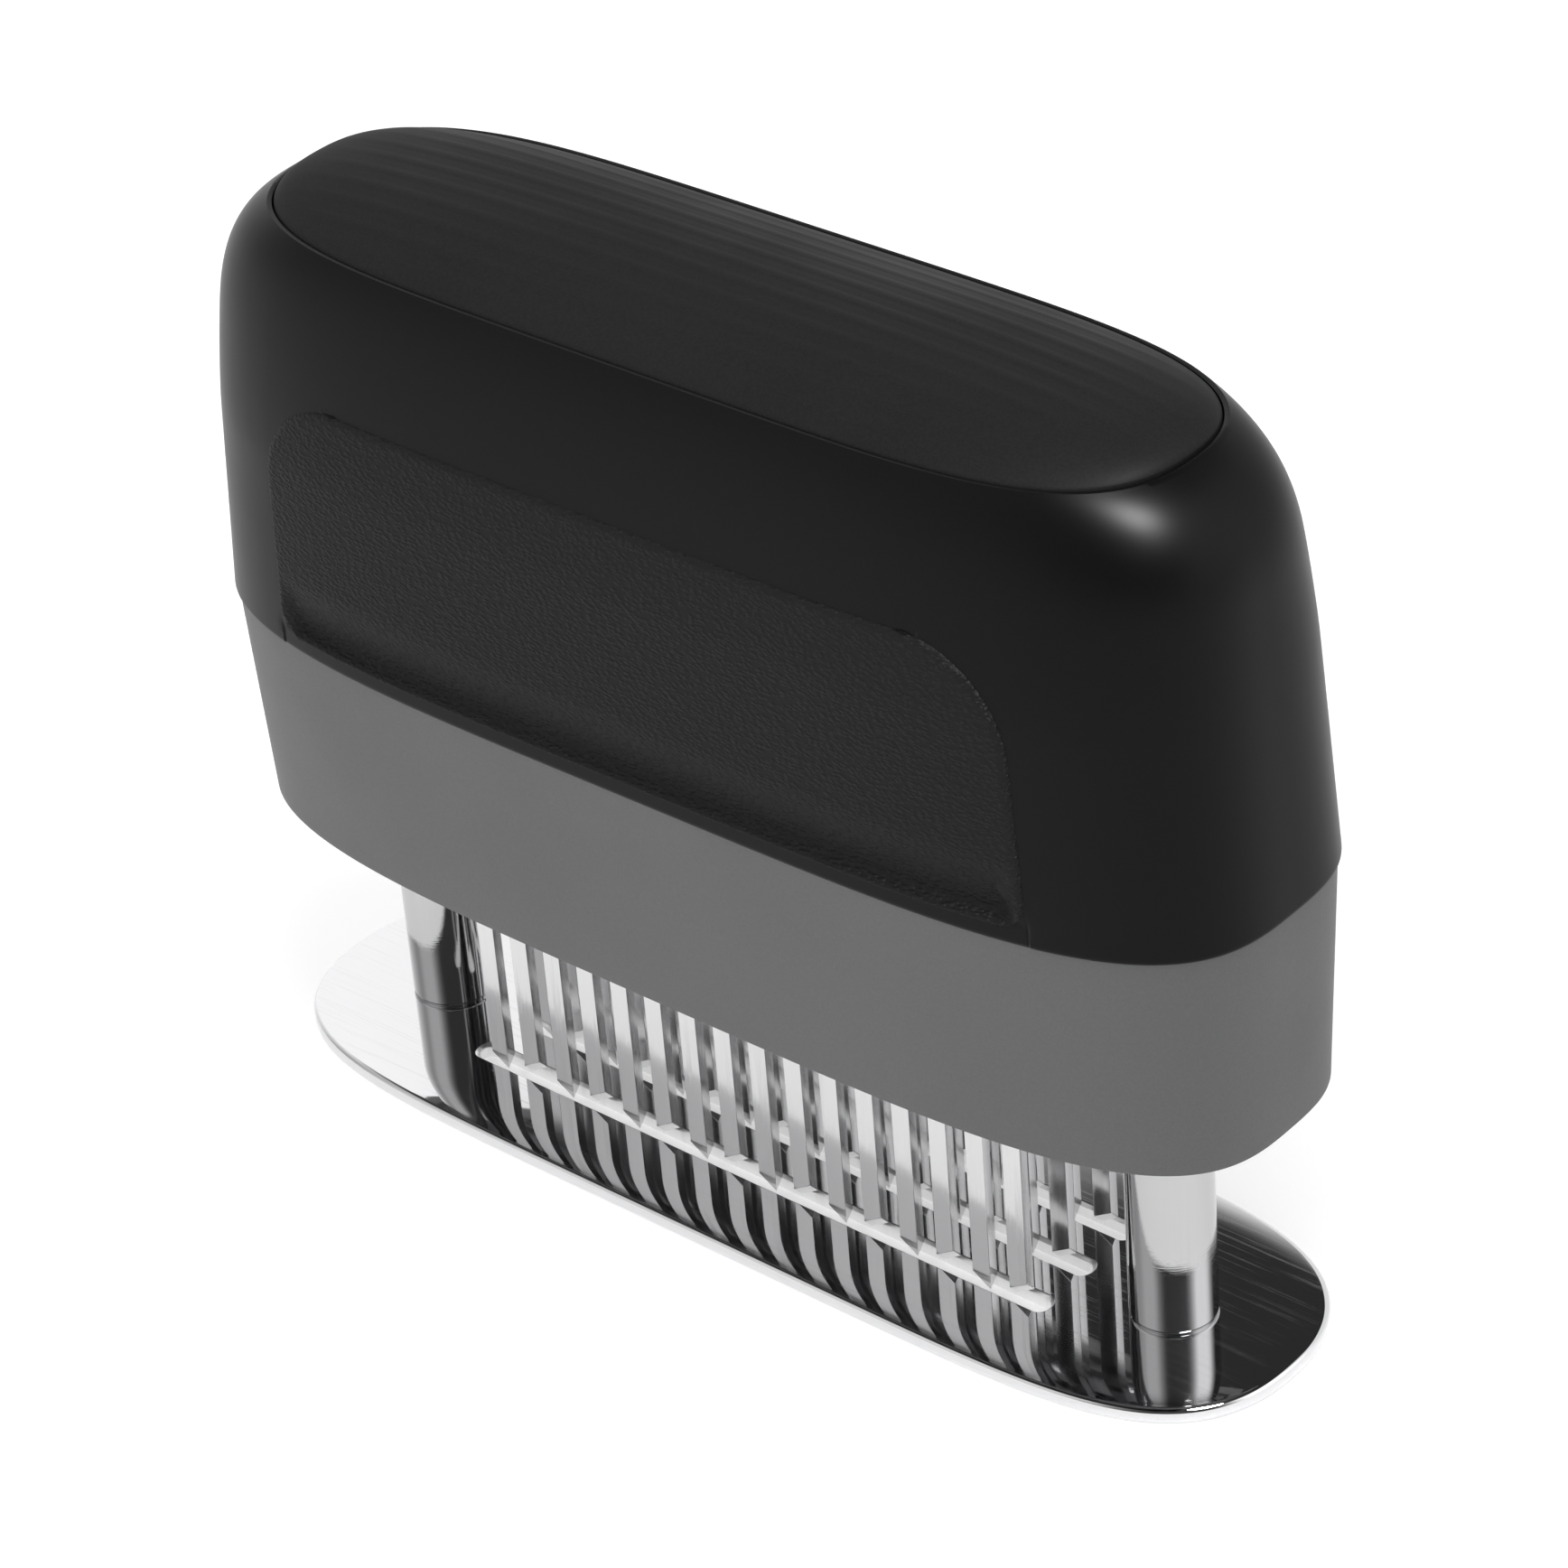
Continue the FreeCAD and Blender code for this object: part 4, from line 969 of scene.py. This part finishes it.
class TENDERIZER_OT_band(bpy.types.Operator):
    """Build the grey band"""
    bl_idname = "tenderizer.band"
    bl_label = "Grey band"

    def execute(self, context):
        turns = even_turns()
        lip_bottom = BAND_RIM_HEIGHT + BAND_LIP_RISE
        lip_top = lip_bottom + BAND_LIP_HEIGHT
        tongue = -SHELL_WALL - TONGUE_FIT
        profile = [(0.0, SEAM_HEIGHT)]
        profile += [(0.0, SEAM_HEIGHT - share * (SEAM_HEIGHT - BAND_RIM_HEIGHT - SOFT_EDGE))
                    for share in (0.02, 0.15, 0.3, 0.5, 0.7, 0.85, 0.97, 1.0)]
        profile += [(-SOFT_EDGE * (1 - math.cos(turn)),
                     BAND_RIM_HEIGHT + SOFT_EDGE * (1 - math.sin(turn)))
                    for turn in np.radians((22, 45, 68, 90))]
        inner = -BAND_WALL
        profile += [(inner + SOFT_EDGE, BAND_RIM_HEIGHT), (inner, BAND_RIM_HEIGHT + SOFT_EDGE),
                    (inner, lip_bottom), (inner - BAND_LIP_WIDTH, lip_bottom),
                    (inner - BAND_LIP_WIDTH, lip_top), (inner, lip_top),
                    (inner, SEAM_HEIGHT - TONGUE_HEIGHT - 2 * MM)]
        rings = [ring(band_size(height), offset, height, turns) for offset, height in profile]
        for inset, rise in ((tongue - TONGUE_WALL, -TONGUE_HEIGHT),
                            (tongue - TONGUE_WALL, TONGUE_HEIGHT), (tongue, TONGUE_HEIGHT),
                            (tongue, 0.0)):
            rings.append(ring(shell_size(max(rise, 0.0)), inset, SEAM_HEIGHT + rise, turns))
        piece = skin("band_moulded", rings, paint("grey_plastic"))
        hand_over(piece, "handle", "skirt_band")
        return {"FINISHED"}


def crease_turns():
    """Turns of the rays beside the crease that runs down from each side of a pad."""
    turns = np.linspace(0.0, math.pi / 2, 4001)
    reach = oval(*shell_size(0.0), turns)[:, 0]
    found = [turns[np.argmin(np.abs(reach - PAD_BOTTOM_HALF - step * MM))]
             for step in (-0.5, -0.2, -0.1, 0.0, 0.1, 0.22, 0.36, 0.6)]
    return [turn for near in found for turn in (near, math.pi - near, math.pi + near,
                                                2 * math.pi - near)]


class TENDERIZER_OT_shell(bpy.types.Operator):
    """Build the black handle shell"""
    bl_idname = "tenderizer.shell"
    bl_label = "Handle shell"

    def execute(self, context):
        turns = even_turns(crease_turns())
        recess_floor = SEAM_HEIGHT + SHELL_HEIGHT - INSERT_DEPTH
        roof = recess_floor - ROOF_THICKNESS
        top = SEAM_HEIGHT + SHELL_HEIGHT
        rings = [ring(insert_size(), offset, height, turns) for offset, height in (
            (INSERT_FIT - 1 * MM, recess_floor), (INSERT_FIT, recess_floor),
            (INSERT_FIT, top - SOFT_EDGE), (INSERT_FIT + SOFT_EDGE * 0.3, top - SOFT_EDGE * 0.3),
            (INSERT_FIT + SOFT_EDGE, top - 0.01 * MM))]
        shares = np.concatenate([np.linspace(1.0, 0.86, 24), np.linspace(0.85, 0.5, 26),
                                 np.linspace(0.47, 0.1, 12)])
        rises = list(shares * SHELL_HEIGHT) + [value * MM for value in (4.4, 3.8, 3.2, 2.7, 2.2,
                                                                       1.7, 1.2, 0.8, 0.5)]
        outer = [self.creased(ring(shell_size(rise), 0.0, SEAM_HEIGHT + rise, turns), rise)
                 for rise in rises]
        for turn in np.radians((25, 50, 75, 90)):
            rise = SHELL_RIM_EDGE * (1 - math.sin(turn))
            inset = SHELL_RIM_EDGE * (1 - math.cos(turn))
            outer.append(self.creased(ring(shell_size(rise), -inset, SEAM_HEIGHT + rise, turns),
                                      rise))
        inner_rises = (0.0, 10 * MM, 20 * MM, 30 * MM, 38 * MM, 43 * MM, 46 * MM,
                       roof - SEAM_HEIGHT)
        inner = [ring(shell_size(rise), -SHELL_WALL, SEAM_HEIGHT + rise, turns)
                 for rise in inner_rises]
        piece = skin("shell_moulded", rings + outer + inner, paint("black_shell"),
                     (0, 0, recess_floor), (0, 0, roof))
        hand_over(piece, "handle", "handle_shell")
        return {"FINISHED"}

    @staticmethod
    def creased(outline, rise):
        """Set the strip below each pad in a little, with a crease at its ends."""
        fade = np.interp(rise, (PAD_RISE + 0.4 * MM, PAD_RISE + 1.8 * MM), (1.0, 0.0))
        room = np.abs(outline[:, 0]) - PAD_BOTTOM_HALF
        groove = np.interp(room, np.array((-0.15, 0.0, 0.1, 0.3)) * MM, (0, 1, 1, 0))
        strip = np.interp(room, np.array((-0.1, 0.05)) * MM, (1, 0))
        under = pad_dish(outline[:, 0], rise - PAD_RISE, 0.05 * MM)
        sunk = np.clip(under - 0.2 * MM, 0, PAD_DISH)
        depth = fade * (CREASE_DEPTH * groove + STRIP_DEPTH * strip) + sunk
        ahead = np.roll(outline, -1, 0)[:, :2] - np.roll(outline, 1, 0)[:, :2]
        normal = np.column_stack([ahead[:, 1], -ahead[:, 0]])
        normal /= np.linalg.norm(normal, axis=1)[:, None]
        moved = outline.copy()
        moved[:, :2] -= normal * depth[:, None]
        return moved


class TENDERIZER_OT_top_panel(bpy.types.Operator):
    """Build the ribbed, crowned top panel"""
    bl_idname = "tenderizer.top_panel"
    bl_label = "Top panel"

    def execute(self, context):
        looks = context.scene.tenderizer_looks
        size = insert_size()
        turns = even_turns()
        base = SEAM_HEIGHT + SHELL_HEIGHT
        rings = [ring(size, -1 * MM, base - INSERT_DEPTH, turns),
                 ring(size, 0.0, base - INSERT_DEPTH, turns),
                 ring(size, 0.0, base - SOFT_EDGE, turns),
                 ring(size, -SOFT_EDGE * 0.3, base - SOFT_EDGE * 0.3, turns)]
        shares = np.concatenate([[0.012, 0.03, 0.05], np.linspace(0.07, 0.985, 108)])
        for share in shares:
            outline = ring(size, 0.0, base, turns)
            outline[:, 0] *= 1 - share * share * CROWN_END_SHARE
            outline[:, 1] *= 1 - share
            outline[:, 2] += INSERT_CROWN * (1 - (1 - share) ** 2)
            outline[:, 2] += self.rib(outline, share, looks) * (share > 0.05)
            rings.append(outline)
        piece = skin("top_panel_ribbed", rings, paint("black_insert"),
                     (0, 0, base - INSERT_DEPTH), (0, 0, base + INSERT_CROWN))
        smooth(piece.data, ROUNDED_ANGLE)
        hand_over(piece, "handle", "top_insert")
        return {"FINISHED"}

    @staticmethod
    def rib(outline, share, looks):
        """Height of the lengthwise ribs, which fade out towards the panel's edge and ends."""
        wave = np.cos(2 * math.pi * outline[:, 1] / looks.rib_pitch)
        along = np.interp(np.abs(outline[:, 0]), RIB_END_FADE, (1.0, 0.0))
        across = np.interp(share, RIB_SIDE_FADE, (0.0, 1.0))
        return looks.rib_height * (np.maximum(wave, -0.3) - 1) * 0.5 * along * across


def pad_half(rise):
    """Half length of a pad at a height above its bottom edge."""
    half = PAD_BOTTOM_HALF + (PAD_TOP_HALF - PAD_BOTTOM_HALF) * rise / PAD_HEIGHT
    for corner, room in ((PAD_BOTTOM_CORNER, rise), (PAD_TOP_CORNER, PAD_HEIGHT - rise)):
        depth = np.clip(corner - room, 0, corner)
        half = half - (corner - np.sqrt(corner ** 2 - depth ** 2))
    return half


def pad_dish(x, rise, wall_width):
    """Depth of the finger dish along a pad's bottom, behind a narrow lip."""
    wall = np.clip((rise - PAD_LIP) / wall_width, 0, 1)
    back = np.clip((rise - PAD_LIP - wall_width) / PAD_DISH_HEIGHT, 0, 1)
    side = np.clip((PAD_BOTTOM_HALF - PAD_DISH_ROOM - np.abs(x)) / PAD_DISH_END, 0, 1)
    return (PAD_DISH * np.sin(wall * math.pi / 2) * (0.5 + 0.5 * np.cos(back * math.pi))
            * side * side * (3 - 2 * side))


def front_surface(x, rise):
    """Point and outward direction of the shell's front at a length and a rise."""
    def reach(x, y, rise):
        half_length, half_width, end_power, side_power = shell_size(rise)
        return np.abs(x / half_length) ** end_power + np.abs(y / half_width) ** side_power

    half_length, half_width, end_power, side_power = shell_size(rise)
    inside = np.clip(1 - np.abs(x / half_length) ** end_power, 1e-9, 1)
    y = -half_width * inside ** (1 / side_power)
    step = 0.01 * MM
    slope = np.stack([reach(x + step, y, rise) - reach(x - step, y, rise),
                      reach(x, y + step, rise) - reach(x, y - step, rise),
                      reach(x, y, rise + step) - reach(x, y, rise - step)], -1)
    slope /= np.linalg.norm(slope, axis=-1)[..., None]
    return np.stack([x, y, SEAM_HEIGHT + rise], -1), slope


class TENDERIZER_OT_pads(bpy.types.Operator):
    """Build the two grained grip pads"""
    bl_idname = "tenderizer.pads"
    bl_label = "Grip pads"

    def execute(self, context):
        looks = context.scene.tenderizer_looks
        tree = grain_tree()
        points, faces, room = self.face()
        for name, side in (("front", 1), ("rear", -1)):
            spun = points * np.array((side, side, 1))
            mesh = bpy.data.meshes.new("pad")
            mesh.from_pydata(spun.tolist(), [], faces)
            mesh.shade_smooth()
            stored = mesh.attributes.new("edge_room", "FLOAT", "POINT")
            stored.data.foreach_set("value", room.astype(np.float32))
            holder = bpy.data.objects.new("pad", mesh)
            context.scene.collection.objects.link(holder)
            apply_tree(holder, tree, {"Grain Size": looks.grain_size,
                                      "Grain Height": looks.grain_height,
                                      "Rubber": paint("grip_rubber")})
            wall = holder.modifiers.new("thickness", "SOLIDIFY")
            wall.thickness = PAD_PROUD + 0.2 * MM
            wall.offset = -1
            piece = settle(holder, name + "_pad_grained")
            smooth(piece.data, ROUNDED_ANGLE)
            hand_over(piece, "handle", name + "_grip_pad")
        return {"FINISHED"}

    @staticmethod
    def spaced(length):
        """Even steps along a length in metres, with finer ones at both ends."""
        near = np.array((0.0, 0.05, 0.11, 0.19, 0.3, 0.45, 0.62)) * MM
        first = 0.85 * MM
        middle = np.linspace(first, length - first, PAD_COLUMNS - 2 * len(near))
        return np.concatenate([near, middle, (length - near)[::-1]])

    @staticmethod
    def rows_up():
        """Heights of the grid's rows, evenly spaced round both corners."""
        turn = np.radians(np.linspace(14, 90, 13))
        bottom = np.append(0, PAD_BOTTOM_CORNER * (1 - np.cos(turn)))
        turn = np.radians(np.linspace(90, 6, 50))
        top = np.append(PAD_HEIGHT - PAD_TOP_CORNER * (1 - np.cos(turn)), PAD_HEIGHT)
        middle = np.linspace(PAD_BOTTOM_CORNER, top[0], 56)[1:-1]
        return np.concatenate([bottom, middle, top])

    def face(self):
        """Points, faces and distance to the outline of the front pad's outer face."""
        rises = self.rows_up()
        halves = pad_half(rises)
        x = np.stack([self.spaced(2 * half) - half for half in halves])
        rise = np.repeat(rises[:, None], PAD_COLUMNS, 1)
        places = np.column_stack([x.ravel(), rise.ravel()])
        room = self.edge_room(places)
        share = np.clip(room / PAD_EDGE_WIDTH, 0, 1)
        proud = (PAD_PROUD + PAD_BURIED) * np.sqrt(1 - (1 - share) ** 2) - PAD_BURIED
        proud -= pad_dish(places[:, 0], places[:, 1], 1.0 * MM)
        at, normal = front_surface(places[:, 0], places[:, 1] + PAD_RISE)
        points = at + normal * proud[:, None]
        index = np.arange(x.size).reshape(x.shape)
        faces = np.stack([index[:-1, :-1], index[:-1, 1:], index[1:, 1:], index[1:, :-1]], -1)
        return points, faces.reshape(-1, 4).tolist(), room

    @staticmethod
    def edge_room(places):
        """Distance from each place on a pad to the pad's outline."""
        up = np.linspace(0, PAD_HEIGHT, OUTLINE_POINTS)
        along = np.linspace(-1, 1, OUTLINE_POINTS)
        outline = np.concatenate(
            [np.column_stack([side * pad_half(up), up]) for side in (-1, 1)]
            + [np.column_stack([along * pad_half(rise), np.full(OUTLINE_POINTS, rise)])
               for rise in (0.0, PAD_HEIGHT)])
        # In parts, because the whole table of distances takes a lot of memory
        return np.concatenate([
            np.sqrt(((part[:, None, :] - outline[None, :, :]) ** 2).sum(-1).min(1))
            for part in np.array_split(places, 60)])


# Studio

class TENDERIZER_OT_studio(bpy.types.Operator):
    """Set the floor, the soft light and the camera"""
    bl_idname = "tenderizer.studio"
    bl_label = "Studio"

    def execute(self, context):
        self.floor(context)
        self.surround(context)
        self.lamps(context)
        self.camera(context)
        context.scene.view_settings.view_transform = "Standard"
        return {"FINISHED"}

    def floor(self, context):
        """Pale floor that keeps the shadow."""
        corners = [(x * FLOOR_HALF, y * FLOOR_HALF, -FLOOR_GAP)
                   for x, y in ((-1, -1), (1, -1), (1, 1), (-1, 1))]
        mesh = bpy.data.meshes.new("floor")
        mesh.from_pydata(corners, [], [(0, 1, 2, 3)])
        floor = bpy.data.objects.new("floor", mesh)
        context.scene.collection.objects.link(floor)
        material, _, _ = finish("studio_floor", Roughness=0.9, Specular_IOR_Level=0.0,
                                Base_Color=(FLOOR_TONE, FLOOR_TONE, FLOOR_TONE, 1),
                                Emission_Color=(1, 1, 1, 1), Emission_Strength=FLOOR_GLOW)
        mesh.materials.append(material)

    def surround(self, context):
        """White backdrop, which is a wall with a dim ceiling and a gap in reflections."""
        world = bpy.data.worlds.new("studio")
        context.scene.world = world
        world.use_nodes = True
        wire = Wiring(world.node_tree)
        for node in list(world.node_tree.nodes):
            world.node_tree.nodes.remove(node)
        toward = wire.add("ShaderNodeTexCoord").outputs["Generated"]
        parts = wire.add("ShaderNodeSeparateXYZ", {0: toward}).outputs
        flat = wire.add("ShaderNodeVectorMath", {0: toward, 1: (1, 1, 0)},
                        operation="MULTIPLY").outputs[0]
        heading = wire.add("ShaderNodeVectorMath", {0: flat}, operation="NORMALIZE").outputs[0]
        facing = wire.add("ShaderNodeVectorMath", {0: heading, 1: CAMERA_HEADING},
                          operation="DOT_PRODUCT").outputs["Value"]
        low_wall = wire.spread(parts["Z"], *WALL_TOP_FADE, WALL_TONE, CEILING_TONE)
        high_wall = wire.spread(parts["Z"], *HIGH_WALL_TOP_FADE, WALL_TONE, CEILING_TONE)
        beside = wire.math("MAXIMUM", wire.spread(parts["X"], *HIGH_WALL_LEFT_FADE, 1.0, 0.0),
                           wire.spread(facing, *HIGH_WALL_RIGHT_FADE, 0.0, 1.0))
        wall = wire.math("MAXIMUM", low_wall, wire.math("MULTIPLY", beside, high_wall))
        rear = wire.spread(parts["Y"], *REAR_FADE, 0.0, 1.0)
        left = wire.spread(parts["X"], *REAR_LEFT_FADE, REAR_LEFT_EXTRA, 0.0)
        rear_left = wire.math("MULTIPLY_ADD", left, rear, 1.0)
        near_side = wire.spread(facing, *NEAR_SIDE_FADE, 1.0, NEAR_SIDE_GAIN)
        bright = wire.math("MULTIPLY", wall, wire.math("MULTIPLY", rear_left, near_side))
        front = wire.spread(parts["Y"], *FRONT_FADE, FRONT_TONE, 1.0)
        gap = wire.spread(facing, *CAMERA_GAP_FADE, 1.0, CAMERA_GAP_TONE)
        reflected = wire.math("MULTIPLY", wire.math("MULTIPLY", bright, front), gap)
        path = wire.add("ShaderNodeLightPath").outputs
        mirror = wire.math("MAXIMUM", path["Is Glossy Ray"], path["Is Transmission Ray"])
        plain = wire.math("MAXIMUM", path["Is Camera Ray"], AMBIENT)
        share = wire.math("MULTIPLY", mirror, wire.math("SUBTRACT", 1.0, path["Is Camera Ray"]))
        level = wire.add("ShaderNodeMix", {0: share, 2: plain, 3: reflected},
                         data_type="FLOAT").outputs[0]
        light = wire.add("ShaderNodeBackground", {"Color": (1, 1, 1, 1), "Strength": level})
        wire.add("ShaderNodeOutputWorld", {"Surface": light.outputs[0]})

    def lamps(self, context):
        """Soft lamps: one overhead, a large fill in front, and a softbox for gloss."""
        for name, lit in LAMPS.items():
            data = bpy.data.lights.new(name, "AREA")
            data.shape = "DISK"
            data.size = lit["size"]
            data.energy = lit["power"]
            lamp = bpy.data.objects.new(name, data)
            lamp.visible_glossy = lit["gloss"]
            lamp.visible_diffuse = not lit["gloss"]
            lamp.location = lit["place"]
            aim = Vector(LAMP_AIM) - Vector(lit["place"])
            lamp.rotation_euler = aim.to_track_quat("-Z", "Y").to_euler()
            context.scene.collection.objects.link(lamp)

    def camera(self, context):
        """Camera as the photograph was taken."""
        data = bpy.data.cameras.new("camera")
        data.lens = CAMERA_LENS
        data.sensor_width = CAMERA_SENSOR
        data.sensor_fit = "HORIZONTAL"
        data.clip_start = 0.01
        flat = math.cos(CAMERA_ELEVATION)
        back = Vector((math.sin(CAMERA_AZIMUTH) * flat, -math.cos(CAMERA_AZIMUTH) * flat,
                       math.sin(CAMERA_ELEVATION)))
        level = Vector((math.cos(CAMERA_AZIMUTH), math.sin(CAMERA_AZIMUTH), 0))
        upright = back.cross(level)
        right = level * math.cos(CAMERA_ROLL) + upright * math.sin(CAMERA_ROLL)
        up = upright * math.cos(CAMERA_ROLL) - level * math.sin(CAMERA_ROLL)
        camera = bpy.data.objects.new("camera", data)
        turn = Matrix((right, up, back)).transposed().to_4x4()
        camera.matrix_world = Matrix.Translation(CAMERA_PLACE) @ turn
        context.scene.collection.objects.link(camera)
        context.scene.camera = camera


class TENDERIZER_PT_sidebar(bpy.types.Panel):
    """Sizes, colours and building steps of the tenderizer"""
    bl_idname = "TENDERIZER_PT_sidebar"
    bl_label = "Blade tenderizer"
    bl_space_type = "VIEW_3D"
    bl_region_type = "UI"
    bl_category = "Tenderizer"

    def draw(self, context):
        looks = context.scene.tenderizer_looks
        for label in TenderizerLooks.__annotations__:
            self.layout.prop(looks, label)
        for step in STEPS:
            self.layout.operator(step.bl_idname)


STEPS = (TENDERIZER_OT_plate, TENDERIZER_OT_posts, TENDERIZER_OT_fasteners,
         TENDERIZER_OT_springs, TENDERIZER_OT_blades, TENDERIZER_OT_inside,
         TENDERIZER_OT_band, TENDERIZER_OT_shell, TENDERIZER_OT_top_panel,
         TENDERIZER_OT_pads, TENDERIZER_OT_studio)
CLASSES = (TenderizerLooks, TENDERIZER_PT_sidebar) + STEPS


def register():
    """Register the classes and the looks on the scene."""
    for item in CLASSES:
        bpy.utils.register_class(item)
    bpy.types.Scene.tenderizer_looks = PointerProperty(type=TenderizerLooks)


def unregister():
    """Take the classes out again."""
    del bpy.types.Scene.tenderizer_looks
    for item in reversed(CLASSES):
        bpy.utils.unregister_class(item)


def main():
    """Build every piece and the studio."""
    register()
    for step in STEPS:
        group, name = step.bl_idname.split(".")
        getattr(getattr(bpy.ops, group), name)()


if __name__ == "__main__":
    main()
